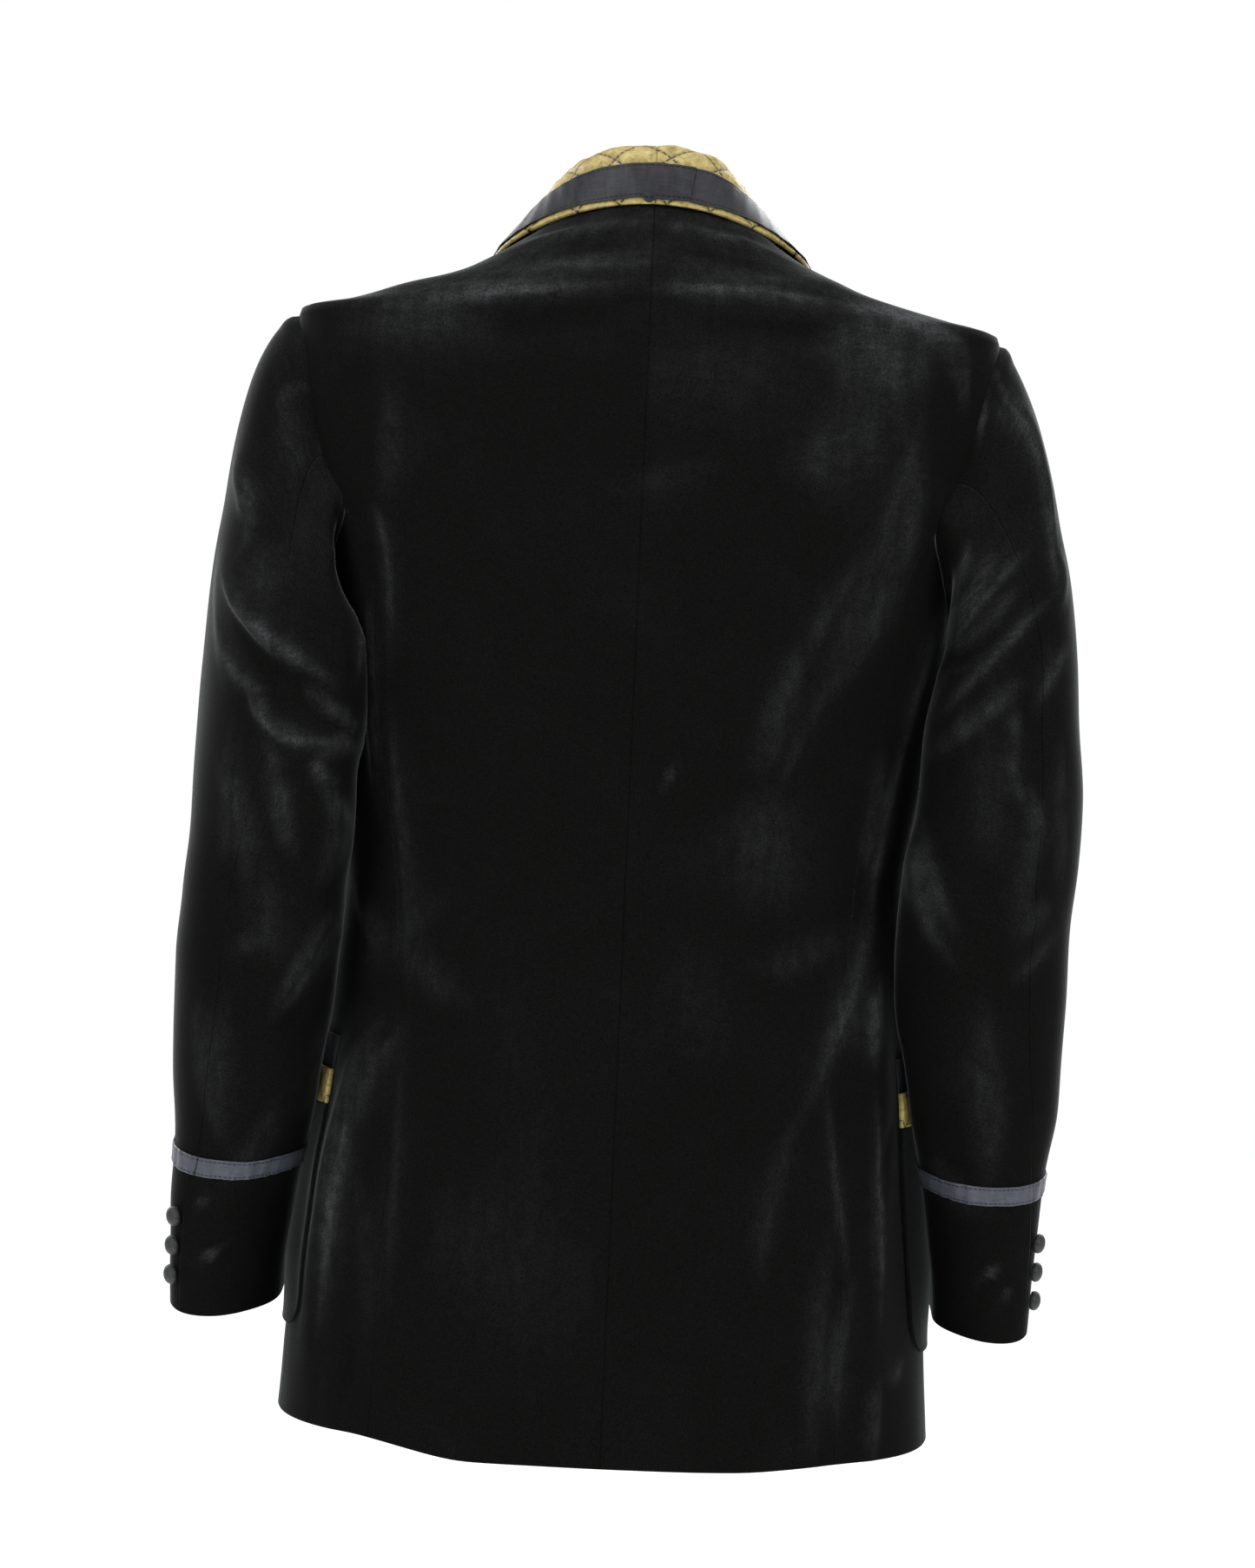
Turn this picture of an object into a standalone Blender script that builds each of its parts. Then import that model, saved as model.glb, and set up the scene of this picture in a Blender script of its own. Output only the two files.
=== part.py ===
"""A velvet smoking jacket with a quilted satin shawl collar, filled out as it is when worn.

The front faces -Y, +Z is up and the wearer's left is +X. The origin is the base of the neck,
midway between the shoulder seams. Every table and size here is in millimetres and degrees.
"""

import math
from collections import namedtuple

import bmesh
import bpy
import numpy as np
from mathutils.bvhtree import BVHTree

MM = 0.001

# Thickness of the cloths and the room between them
VELVET = 2.0
QUILT = 2.5
RIBBON = 1.0
SEAM = 0.3
LYING = 0.4
ARMHOLE_ROOM = 0.8
COLLAR_ROOM = 1.2
COLLAR_SEAM_ROOM = 1.0
COLLAR_RIBBON_ROOM = 1.1
CUFF_RIBBON_ROOM = 0.9
POCKET_ROOM = 0.8
SLEEVE_ROOM = 2.5
SLEEVE_ROOM_AT_POCKET = 3.5

# Collar, ribbons, pockets and buttons
QUILT_SPACING = 24.0
QUILT_RISE = 1.3
COLLAR_WRAP = 6.0
COLLAR_RIBBON_WIDTH = 19.0
COLLAR_RIBBON_MARGIN = 4.5
COLLAR_RIBBON_JOIN = 19.0
CUFF_RIBBON_WIDTH = 12.0
CUFF_RIBBON_ABOVE_EDGE = 98.0
POCKET_TOP = -510.0
POCKET_BOTTOM = -700.0
POCKET_RIBBON_WIDTH = 22.0
POCKET_BAND_WIDTH = 22.0
POCKET_CORNER = 28.0
CUFF_BUTTON = 12.7
CUFF_BUTTON_PITCH = 19.5
CUFF_BUTTON_ABOVE_EDGE = 24.0
FRONT_BUTTON = 20.0
FRONT_BUTTON_HEIGHT = -408.0

# Place below which the body's rows run level all round
UNDERARM_PLACE = 0.70

# The body, as level rings. place is 0 at the hem, 1 at the shoulder tips and 2 at the neck.
# half, back and front are the ring's reach to the side, the back and the front, widest is
# where it is widest, square is its exponent and lift is how far its back rises.
Ring = namedtuple("Ring", "place height half back front widest square lift")
BODY = (
    Ring(0.000, -763, 213, 110, -138, -48, 2.50, 0),
    Ring(0.115, -680, 209, 110, -136, -60, 2.45, 0),
    Ring(0.285, -560, 196, 108, -130, -72, 2.35, 0),
    Ring(0.410, -470, 190, 103, -124, -68, 2.25, 0),
    Ring(0.505, -400, 186, 98, -119, -58, 2.20, 0),
    Ring(0.590, -340, 190, 100, -122, -38, 2.22, 0),
    Ring(0.675, -278, 197, 106, -129, -16, 2.30, 0),
    Ring(0.755, -221, 201, 113, -133, 6, 2.40, 0),
    Ring(0.870, -138, 218, 118, -126, 9, 2.40, 0),
    Ring(0.940, -88, 224, 115, -110, 10, 2.35, 0),
    Ring(1.000, -46, 226, 106, -94, 10, 2.25, 0),
    Ring(1.150, -39.5, 203, 103.5, -88, 10, 2.20, 4),
    Ring(1.280, -35.5, 183, 101, -82, 10, 2.20, 10),
    Ring(1.410, -32.5, 163, 98, -76, 10, 2.20, 17),
    Ring(1.550, -27, 142, 93, -68, 10, 2.20, 22),
    Ring(1.680, -18.5, 122, 88, -60, 10, 2.20, 23.5),
    Ring(1.820, -7.5, 101, 81, -52, 10, 2.20, 23.5),
    Ring(1.930, 3, 84, 74, -44, 10, 2.20, 21),
    Ring(2.000, 10, 73, 69, -38, 10, 2.20, 20),
)

# Side-back seam, by its distance from the centre back
Seam = namedtuple("Seam", "height across")
SIDE_BACK = (
    Seam(-763, 146), Seam(-680, 145), Seam(-600, 141), Seam(-540, 139), Seam(-440, 143),
    Seam(-400, 146), Seam(-340, 152), Seam(-280, 160), Seam(-221, 164), Seam(-192, 174),
    Seam(-172, 189),
)

# Side-front seam, by its turn forward of the side
Turn = namedtuple("Turn", "height turn")
SIDE_FRONT = (
    Turn(-763, 14), Turn(-680, 13), Turn(-560, 10), Turn(-470, 3), Turn(-400, -5),
    Turn(-340, -12), Turn(-280, -20), Turn(-218, -27),
)

# Front edge: the wrap below the button, with a rounded hem corner, and the V above it
Edge = namedtuple("Edge", "place across")
FRONT_EDGE = (
    Edge(0.000, 46), Edge(0.020, 12), Edge(0.050, -8), Edge(0.090, -16), Edge(0.140, -18),
    Edge(0.495, -18), Edge(0.518, -12), Edge(0.545, 8), Edge(0.600, 16), Edge(0.680, 26),
    Edge(0.760, 36), Edge(0.870, 48.5), Edge(1.000, 59), Edge(1.410, 61), Edge(1.680, 62),
    Edge(2.000, 62),
)

# Armhole, from the shoulder tip down the back, under the arm and up the front
ARMHOLE = (
    Turn(-46, 0), Turn(-62, 12), Turn(-97, 19), Turn(-140, 23), Turn(-172, 29),
    Turn(-198, 20), Turn(-218, 9), Turn(-230, -4), Turn(-231, -16), Turn(-218, -27),
    Turn(-190, -34), Turn(-160, -35), Turn(-120, -31), Turn(-85, -22), Turn(-62, -12),
)

# Arms, by rings that hang below the armhole. outer and inner are the ring's reach from the
# centre line, toe swings its back outward and tilt lifts its front.
Arm = namedtuple("Arm", "below outer inner back front toe tilt")
SLEEVE_LEFT = (
    Arm(262, 276, 172, 97, -62, -21, 0.00),
    Arm(300, 278, 172, 94, -60, -22, 0.00),
    Arm(340, 280, 176, 86, -57, -16, 0.00),
    Arm(380, 282, 178, 78, -57, -10, 0.02),
    Arm(420, 286, 180, 72, -60, -6, 0.05),
    Arm(460, 289, 183, 65, -64, -6, 0.08),
    Arm(500, 289, 186, 56, -70, -5, 0.11),
    Arm(540, 288, 191, 46, -76, -2, 0.14),
    Arm(580, 286, 198, 34, -82, 3, 0.16),
    Arm(620, 285, 206, 24, -87, 10, 0.17),
    Arm(686, 283, 214, 10, -96, 11, 0.17),
)
SLEEVE_RIGHT = (
    Arm(262, 286, 196, 84, -64, -2, 0.00),
    Arm(300, 289, 189, 83, -62, -2, 0.00),
    Arm(340, 292, 185, 80, -58, -4, 0.00),
    Arm(380, 291, 181, 76, -57, -5, 0.02),
    Arm(420, 289, 176, 70, -60, -5, 0.05),
    Arm(460, 289, 175, 62, -64, -5, 0.08),
    Arm(500, 288, 179, 53, -70, -4, 0.11),
    Arm(540, 287, 186, 43, -76, -1, 0.14),
    Arm(580, 281, 197, 32, -82, 4, 0.16),
    Arm(620, 276, 202, 22, -87, 9, 0.17),
    Arm(682, 273, 211, 8, -95, 10, 0.17),
)
SLEEVES = {1: SLEEVE_LEFT, -1: SLEEVE_RIGHT}
ARM_SQUARE = 2.1

# Sleeve heads: how steeply the cloth leaves the shoulder tip, and how far it keeps that way
HEAD_RISE = {1: 2.6, -1: 1.0}
HEAD_SPREAD = {1: 0.24, -1: 0.14}

# Sleeve seams as turns round the arm, 0 outward and 90 to the back, by place down the sleeve
SleeveSeam = namedtuple("SleeveSeam", "place left right")
HIND_SEAM = (SleeveSeam(0.0, 78, 78), SleeveSeam(1.0, 72, 68), SleeveSeam(2.0, 58, 45))
FORE_SEAM_TURN = 235.0

# Shawl collar. place is where the seam lies on the body, stand is the fold's height over the
# seam, upright is how steeply the stand rises, outer_place and outer_turn are where the
# outer edge lies on the body, and belly rounds the fall. It stands closer to the neck on the
# wearer's right.
Shawl = namedtuple("Shawl", "along place stand upright outer_place outer_turn belly")
COLLAR_BACK = (Shawl(0, 2.000, 31, 4.0, 1.880, 90, 3), Shawl(24, 2.000, 31, 3.3, 1.871, 76, 2.5))
COLLAR_SIDE = {
    1: (Shawl(52, 2.000, 30, 2.2, 1.860, 58, 2), Shawl(104, 2.000, 26, 1.0, 1.830, 4, 1)),
    -1: (Shawl(52, 2.000, 28, 1.3, 1.860, 58, 2), Shawl(104, 2.000, 23, 0.5, 1.830, 4, 1)),
}
COLLAR_FRONT = (
    Shawl(135, 2.000, 16, 0.6, 1.720, -22, 2),
    Shawl(165, 1.680, 8, 0.3, 1.500, -37, 4),
    Shawl(198, 1.330, 6, 0.1, 1.200, -49, 6),
    Shawl(228, 1.000, 5, 0.0, 0.975, -57, 7),
    Shawl(290, 0.910, 4, 0.0, 0.890, -57, 7),
    Shawl(350, 0.828, 4, 0.0, 0.810, -57, 7),
    Shawl(420, 0.734, 4, 0.0, 0.720, -59, 6),
    Shawl(480, 0.652, 4, 0.0, 0.643, -65, 5),
    Shawl(525, 0.592, 4, 0.0, 0.586, -74, 4),
    Shawl(560, 0.548, 4, 0.0, 0.545, -84, 3),
)
COLLAR = {side: COLLAR_BACK + COLLAR_SIDE[side] + COLLAR_FRONT for side in (1, -1)}
NECK_END = 135.0
NECK_END_TURN = -33.4
STAND_SHARE = 0.25

# Largest folds, by where their crest runs as seen from the back. across is measured from the
# centre line, to the wearer's side that the list is for. A fold with less than no rise is a
# trough.
Fold = namedtuple("Fold", "across_1 height_1 across_2 height_2 across_3 height_3 width rise")
HEM_LIFT = {1: 9.0, -1: 4.0}
BODY_FOLDS = {
    1: (
        Fold(-30, -28, 80, -36, 185, -34, 15, 3.5),
        Fold(188, -50, 184, -110, 187, -200, 16, -5.0),
        Fold(172, -190, 158, -300, 146, -420, 17, 3.5),
        Fold(146, -490, 172, -560, 190, -790, 18, 5.0),
        Fold(158, -620, 161, -700, 163, -790, 14, -4.0),
    ),
    -1: (
        Fold(-30, -28, 60, -28, 140, -16, 15, 2.5),
        Fold(198, -50, 196, -140, 190, -240, 16, -4.0),
        Fold(172, -80, 150, -210, 105, -320, 26, 4.0),
        Fold(160, -400, 164, -560, 172, -790, 17, 5.0),
        Fold(134, -540, 133, -660, 133, -790, 17, 2.5),
    ),
}
SLEEVE_FOLDS = {
    1: (
        Fold(268, -190, 232, -255, 166, -290, 15, 8.0),
        Fold(240, -275, 212, -318, 160, -322, 14, 6.0),
        Fold(204, -330, 190, -375, 194, -430, 14, 4.0),
        Fold(178, -415, 204, -460, 228, -520, 15, 4.0),
        Fold(262, -120, 250, -165, 236, -205, 14, 3.0),
    ),
    -1: (
        Fold(226, -50, 248, -120, 266, -200, 14, 3.5),
        Fold(226, -180, 212, -212, 194, -250, 14, 4.0),
        Fold(252, -250, 222, -290, 180, -330, 15, 6.0),
        Fold(184, -340, 198, -415, 218, -460, 15, 5.0),
        Fold(232, -440, 250, -420, 268, -385, 14, 3.0),
    ),
}


def read(rows, at):
    """Every column of a table at the given places, on a smooth curve that never overshoots."""
    table = np.array(rows, float)
    places, values = table[:, 0], table[:, 1:]
    steps = np.diff(places)[:, None]
    slopes = np.diff(values, axis=0) / steps
    before, after = slopes[:-1], slopes[1:]
    level = before * after <= 0
    inner = np.where(level, 0, 2 * before * after / np.where(level, 1, before + after))
    tangents = np.vstack([slopes[:1], inner, slopes[-1:]])
    at = np.clip(np.asarray(at, float), places[0], places[-1])
    row = np.clip(np.searchsorted(places, at, side="right") - 1, 0, len(places) - 2)
    step = steps[row]
    part = ((at - places[row]) / step[..., 0])[..., None]
    found = (
        values[row] * (1 + 2 * part) * (1 - part) ** 2
        + values[row + 1] * part * part * (3 - 2 * part)
        + tangents[row] * step * part * (1 - part) ** 2
        - tangents[row + 1] * step * part * part * (1 - part)
    )
    return type(rows[0])(at, *np.moveaxis(found, -1, 0))


def smooth(value, low, high):
    """Rises softly from 0 at low to 1 at high."""
    part = np.clip((value - low) / (high - low), 0, 1)
    return part * part * (3 - 2 * part)


def unit(vectors):
    return vectors / np.linalg.norm(vectors, axis=-1, keepdims=True)


def signed_power(value, power):
    return np.sign(value) * np.abs(value) ** power


def normal(surface, first, second, first_step, second_step):
    """Outward direction of a surface whose first coordinate runs up and second runs round."""
    up = surface(first + first_step, second) - surface(first - first_step, second)
    around = surface(first, second + second_step) - surface(first, second - second_step)
    return unit(np.cross(around, up))


def place_at(height):
    """Place of a height below the shoulder tips."""
    places = np.linspace(0, 1, 201)
    return np.interp(height, read(BODY, places).height, places)


def turn_at(place, across):
    """Turn on the ring, from the side to the back, where the body is that far across."""
    ring = read(BODY, place)
    share = np.clip(across / ring.half, -1, 1)
    return np.degrees(np.arccos(signed_power(share, ring.square / 2)))


def body(place, turn):
    """Body surface on the left side. turn is 0 at the side, 90 at the back, -90 in front."""
    ring = read(BODY, place)
    cosine, sine = np.cos(np.radians(turn)), np.sin(np.radians(turn))
    power = 2 / ring.square
    depth = np.where(sine > 0, ring.back - ring.widest, ring.widest - ring.front)
    x = ring.half * signed_power(cosine, power)
    y = ring.widest + depth * signed_power(sine, power)
    z = ring.height + ring.lift * np.clip(sine, 0, 1) ** 2
    return np.stack(np.broadcast_arrays(x, y, z), axis=-1)


def body_normal(place, turn):
    return normal(body, place, turn, 0.003, 0.5)


def fold_rise(folds, x, z):
    """Height of the folds at a place seen from the back. Each fades at its two ends."""
    total = np.zeros(np.shape(x))
    along = np.linspace(0, 1, 11)
    for fold in folds:
        middle_x = 2 * fold.across_2 - (fold.across_1 + fold.across_3) / 2
        middle_z = 2 * fold.height_2 - (fold.height_1 + fold.height_3) / 2
        blend = np.stack([(1 - along) ** 2, 2 * along * (1 - along), along ** 2])
        line_x = np.array([fold.across_1, middle_x, fold.across_3]) @ blend
        line_z = np.array([fold.height_1, middle_z, fold.height_3]) @ blend
        nearest = np.full(np.shape(x), 1e9)
        reach = np.zeros(np.shape(x))
        for i in range(len(along) - 1):
            run_x, run_z = line_x[i + 1] - line_x[i], line_z[i + 1] - line_z[i]
            part = ((x - line_x[i]) * run_x + (z - line_z[i]) * run_z) / (run_x ** 2 + run_z ** 2)
            part = np.clip(part, 0, 1)
            away = np.hypot(x - line_x[i] - part * run_x, z - line_z[i] - part * run_z)
            reach = np.where(away < nearest, along[i] + part * along[1], reach)
            nearest = np.minimum(away, nearest)
        fade = smooth(reach, 0, 0.25) * smooth(1 - reach, 0, 0.25)
        total += fold.rise * fade * np.exp(-((nearest / fold.width) ** 2))
    return total


def body_out(side, place, turn, out):
    """A point that far out of the folded body, on either side of it."""
    base = body(place, turn)
    across, outward = base, body_normal(place, turn)
    back = smooth(np.sin(np.radians(turn)), 0.0, 0.25)
    rise = back * fold_rise(BODY_FOLDS[side], across[..., 0], across[..., 2])
    if side > 0:
        front = np.sin(np.radians(turn)) < 0
        lap = front * (1 - smooth(across[..., 0], 30, 80)) * (1 - smooth(place, 0.55, 0.66))
        rise = rise + (VELVET + 2 * LYING) * lap
    points = base + outward * (rise + out)[..., None]
    skirt = (1 - smooth(np.asarray(place), 0.0, 0.12)) * smooth(across[..., 0], 80, 160)
    points[..., 2] += HEM_LIFT[side] * skirt
    return points * (side, 1, 1)


def armhole_curve():
    """Closely spaced heights and turns round the armhole, on a smooth closed curve."""
    rows = np.array(ARMHOLE, float)
    steps = np.linspace(0, 1, 12, endpoint=False)[:, None]
    curve = []
    for i in range(len(rows)):
        a, b, c, d = (rows[(i + k) % len(rows)] for k in (-1, 0, 1, 2))
        curve.append(0.5 * (
            2 * b + (c - a) * steps + (2 * a - 5 * b + 4 * c - d) * steps ** 2
            + (3 * b - a - 3 * c + d) * steps ** 3
        ))
    return np.vstack(curve)


LOOP = armhole_curve()
LOOP_BACK = LOOP[: 4 * 12 + 1][::-1]
LOOP_LOW = LOOP[4 * 12: 9 * 12 + 1][::-1]
LOOP_FRONT = LOOP[9 * 12:]
TIP_HEIGHT = LOOP[0, 0]


def back_side_turn(place):
    """Turn of the back's side edge: seam, then armhole, then shoulder seam."""
    height = read(BODY, place).height
    seam = turn_at(place, read(SIDE_BACK, height).across)
    hole = np.interp(height, LOOP_BACK[:, 0], LOOP_BACK[:, 1])
    turn = np.where(height < LOOP_BACK[0, 0], seam, hole)
    return np.where(place >= 1, 0.0, turn)


def front_side_turn(place):
    """Turn of the front's side edge: seam, then armhole, then shoulder seam."""
    height = read(BODY, place).height
    seam = read(SIDE_FRONT, height).turn
    hole = np.interp(height, LOOP_FRONT[:, 0], LOOP_FRONT[:, 1])
    turn = np.where(height < LOOP_FRONT[0, 0], seam, hole)
    return np.where(place >= 1, 0.0, turn)


def front_edge_turn(place):
    return -turn_at(place, read(FRONT_EDGE, place).across)


def panel_edge_turn(place):
    """The front's own edge, which ends short of the fold where the collar covers it."""
    hidden = COLLAR_WRAP * smooth(place, 0.53, 0.57)
    return -turn_at(place, read(FRONT_EDGE, place).across + hidden)


def turn_for(place, turn, distance):
    """How far to turn to move that distance along the ring."""
    ahead = np.linalg.norm(body(place, turn + 0.5) - body(place, turn - 0.5), axis=-1)
    return distance / ahead


def armhole_frame(share):
    """Point, outward direction and direction into the hole, by share of the way round."""
    heights, turns = LOOP[:, 0], LOOP[:, 1]
    points = body(place_at(heights), turns)
    closed = np.vstack([points, points[:1]])
    length = np.concatenate([[0], np.cumsum(np.linalg.norm(np.diff(closed, axis=0), axis=1))])
    share = np.mod(share, 1.0)
    height = np.interp(share * length[-1], length, np.append(heights, heights[0]))
    turn = np.interp(share * length[-1], length, np.append(turns, turns[0]))
    place = place_at(height)
    point = body(place, turn)
    outward = body_normal(place, turn)
    step = length[-1] / 400
    ahead = [np.interp(np.mod(share * length[-1] + k * step, length[-1]), length,
                       np.append(column, column[0]))
             for k in (-1, 1) for column in (heights, turns)]
    run = body(place_at(ahead[2]), ahead[3]) - body(place_at(ahead[0]), ahead[1])
    return point, outward, unit(np.cross(run, outward))


def arm_ring(side, below, turn):
    """Ring of the hanging sleeve. turn is 0 outward, 90 at the back and 180 to the body."""
    arm = read(SLEEVES[side], below)
    cosine, sine = np.cos(np.radians(turn)), np.sin(np.radians(turn))
    across = signed_power(cosine, 2 / ARM_SQUARE)
    depth = signed_power(sine, 2 / ARM_SQUARE)
    half_depth = (arm.back - arm.front) / 2
    x = (arm.outer + arm.inner) / 2 + (arm.outer - arm.inner) / 2 * across + arm.toe * depth
    y = (arm.back + arm.front) / 2 + half_depth * depth
    z = -arm.below - arm.tilt * half_depth * depth
    return np.stack(np.broadcast_arrays(x, y, z), axis=-1)


def clear_of_body(points, place):
    """Pushes the sleeve's points out sideways until they clear the body's side."""
    room = SLEEVE_ROOM + SLEEVE_ROOM_AT_POCKET * smooth(-points[..., 2], 485, 512)
    room = room * smooth(place, 0.0, 0.8)
    ring = read(BODY, place_at(points[..., 2]))
    along = points[..., 1] - ring.widest
    depth = np.where(along > 0, ring.back - ring.widest, ring.widest - ring.front) + room
    width = ring.half + room
    reach = (np.abs(points[..., 0] / width) ** ring.square + np.abs(along / depth) ** ring.square)
    reach = np.maximum(reach, 1e-6) ** (1 / ring.square)
    pushed = (reach + 1 + np.sqrt((reach - 1) ** 2 + 0.015 ** 2)) / 2
    scale = 1 + (pushed / reach - 1) * smooth(place, -0.04, 0.06)
    x = points[..., 0] * scale
    y = ring.widest + along * scale
    return np.stack([x, y, points[..., 2]], axis=-1)


def sleeve(side, place, turn):
    """Sleeve surface on the left side. place is 0 at the armhole, 1 below it, 2 at the cuff."""
    place, turn = np.broadcast_arrays(np.asarray(place, float), np.asarray(turn, float))
    point, outward, inward = armhole_frame(turn / 360.0)
    top, cuff = SLEEVES[side][0].below, SLEEVES[side][-1].below
    end = arm_ring(side, top, turn)
    end_run = unit(arm_ring(side, top + 4, turn) - end)
    # The cloth leaves the seam flat at the shoulder tip and turns straight out under the arm
    under = (1 - np.cos(np.radians(turn))) / 2
    flat = 1.0 - 0.9 * under
    rise = 0.25 + 0.75 * np.sin(np.pi * np.clip(under, 0, 0.5)) ** 2 + 0.1 * under
    rise = rise + HEAD_RISE[side] * (1 - under) ** 4
    start_run = unit(inward * flat[..., None] + outward * rise[..., None])
    start = point + inward * (ARMHOLE_ROOM * (1 + (1 - under) ** 2))[..., None]
    gap = np.linalg.norm(end - start, axis=-1, keepdims=True)
    spread = 0.28 + HEAD_SPREAD[side] * ((1 - under) ** 2)[..., None]
    v = np.clip(place, 0, 1)[..., None]
    cap = (
        start * (1 + 2 * v) * (1 - v) ** 2 + end * v * v * (3 - 2 * v)
        + start_run * gap * spread * v * (1 - v) ** 2 - end_run * gap * 1.15 * v * v * (1 - v)
    )
    below = top + (cuff - top) * np.clip(place - 1, 0, 1)
    arm = arm_ring(side, below, turn)
    points = np.where(place[..., None] < 1, cap, arm)
    return clear_of_body(points, place)


def sleeve_out(side, place, turn, out):
    """A point that far out of the folded sleeve, on either side of the jacket."""
    place, turn = np.broadcast_arrays(np.asarray(place, float), np.asarray(turn, float))
    base = sleeve(side, place, turn)
    outward = -normal(lambda a, b: sleeve(side, a, b), np.clip(place, 0.004, 1.996), turn,
                      0.004, 2.0)
    back = smooth(np.sin(np.radians(turn)), -0.05, 0.35)
    rise = back * smooth(place, 0.1, 0.4) * fold_rise(SLEEVE_FOLDS[side], base[..., 0], base[..., 2])
    points = base + outward * (rise + out)[..., None]
    return points * (side, 1, 1)


def collar_frame(side, along):
    """The collar's seam on the body, with the way out from it."""
    shawl = read(COLLAR[side], along)
    neck = 90 + (NECK_END_TURN - 90) * np.clip(along / NECK_END, 0, 1)
    turn = np.where(along < NECK_END, neck, front_edge_turn(shawl.place))
    return shawl, body(shawl.place, turn), body_normal(shawl.place, turn)


def collar(side, along, across):
    """Collar surface on the left side. across is 0 at the seam, 1 at the outer edge."""
    along, across = np.broadcast_arrays(np.asarray(along, float), np.asarray(across, float))
    mirrored = np.where(along < 0, -1.0, 1.0)
    along = np.abs(along)
    shawl, point, outward = collar_frame(side, along)
    ahead = collar_frame(side, np.minimum(along + 2, COLLAR_FRONT[-1].along))[1]
    behind = collar_frame(side, np.maximum(along - 2, 0))[1]
    inward = unit(np.cross(ahead - behind, outward))
    up = unit(inward + shawl.upright[..., None] * (0, 0, 1))
    out = unit(outward - up * np.sum(outward * up, axis=-1, keepdims=True))
    seam = point + up * COLLAR_SEAM_ROOM - out * (QUILT - SEAM)
    lap = (VELVET + 2 * LYING) * (1 - smooth(shawl.place, 0.55, 0.66))[..., None]
    fold = point + up * shawl.stand[..., None] + out * (2.0 + lap)
    edge_out = body_normal(shawl.outer_place, shawl.outer_turn)
    edge = body(shawl.outer_place, shawl.outer_turn) + edge_out * (COLLAR_ROOM + QUILT + lap)
    stand = np.clip(across / STAND_SHARE, 0, 1)[..., None]
    fall = np.clip((across - STAND_SHARE) / (1 - STAND_SHARE), 0, 1)[..., None]
    rise = shawl.stand[..., None] * 0.5
    inner = bezier(stand, seam, seam + up * rise, fold - out * 4.2, fold)
    lay = edge + (fold - edge) * 0.35 + (edge_out + out) * 0.7 * shawl.belly[..., None]
    outer = bezier(fall, fold, fold + out * 6.0, lay, edge)
    points = np.where(across[..., None] < STAND_SHARE, inner, outer)
    return points * np.stack([mirrored, np.ones_like(mirrored), np.ones_like(mirrored)], axis=-1)


def bezier(part, a, b, c, d):
    rest = 1 - part
    return a * rest ** 3 + 3 * b * part * rest ** 2 + 3 * c * part ** 2 * rest + d * part ** 3


def fall_length(side, along):
    """Length across the collar from the fold to the outer edge."""
    across = np.linspace(STAND_SHARE, 1, 13)
    total = np.zeros(np.shape(along))
    for i in range(12):
        step = collar(side, along, across[i + 1]) - collar(side, along, across[i])
        total = total + np.linalg.norm(step, axis=-1)
    return total


def quilting(first, second):
    """Raised squares, set on their corners, between two crossing families of stitch lines."""
    a = (first + second) / math.sqrt(2) / QUILT_SPACING
    b = (first - second) / math.sqrt(2) / QUILT_SPACING
    return QUILT_RISE * np.sqrt(np.abs(np.sin(np.pi * a) * np.sin(np.pi * b)))


def collar_out(side, along, across, out, quilted=True):
    """A point that far out of the collar, on either side of the jacket."""
    outward = normal(lambda a, b: collar(side, b, a), across, along, 0.012, 1.5)
    points = collar(side, along, across) + outward * np.asarray(out)[..., None]
    if quilted:
        from_edge = (1 - across) / (1 - STAND_SHARE) * fall_length(side, along)
        sewn_down = COLLAR_RIBBON_MARGIN + COLLAR_RIBBON_WIDTH
        inside = smooth(from_edge, sewn_down, sewn_down + 4) * (np.asarray(out) > -0.01)
        points = points + outward * (inside * quilting(along, from_edge))[..., None]
    return points * (side, 1, 1)


def material(name, colour, roughness, metallic=0.0):
    made = bpy.data.materials.new(name)
    made.use_nodes = True
    shader = made.node_tree.nodes["Principled BSDF"]
    shader.inputs["Base Color"].default_value = (*colour, 1.0)
    shader.inputs["Roughness"].default_value = roughness
    shader.inputs["Metallic"].default_value = metallic
    return made


def add_object(name, mesh_data, cloth):
    mesh = bpy.data.meshes.new(name)
    if mesh_data.calc_volume(signed=True) < 0:
        bmesh.ops.reverse_faces(mesh_data, faces=mesh_data.faces[:])
    mesh_data.to_mesh(mesh)
    mesh_data.free()
    mesh.shade_smooth()
    mesh.set_sharp_from_angle(angle=math.radians(50))
    mesh.materials.append(cloth)
    made = bpy.data.objects.new(name, mesh)
    bpy.context.scene.collection.objects.link(made)
    return made


def wall(name, columns, rows, surface, thickness, cloth, columns_at=None, rows_at=None):
    """A closed wall of cloth. surface takes shares across and up, and how far out to be."""
    sheet = bmesh.new()
    bmesh.ops.create_grid(sheet, x_segments=columns, y_segments=rows, size=0.5)
    bmesh.ops.solidify(sheet, geom=sheet.faces[:], thickness=0.1)
    places = np.array([vertex.co for vertex in sheet.verts])
    across, up = places[:, 0] + 0.5, places[:, 1] + 0.5
    if columns_at is not None:
        across = np.interp(across, np.linspace(0, 1, len(columns_at)), columns_at)
    if rows_at is not None:
        up = np.interp(up, np.linspace(0, 1, len(rows_at)), rows_at)
    out = np.where(places[:, 2] < -0.05, -thickness, 0.0)
    points = surface(across, up, out) * MM
    for vertex, point in zip(sheet.verts, points):
        vertex.co = point
    return add_object(name, sheet, cloth)


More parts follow.
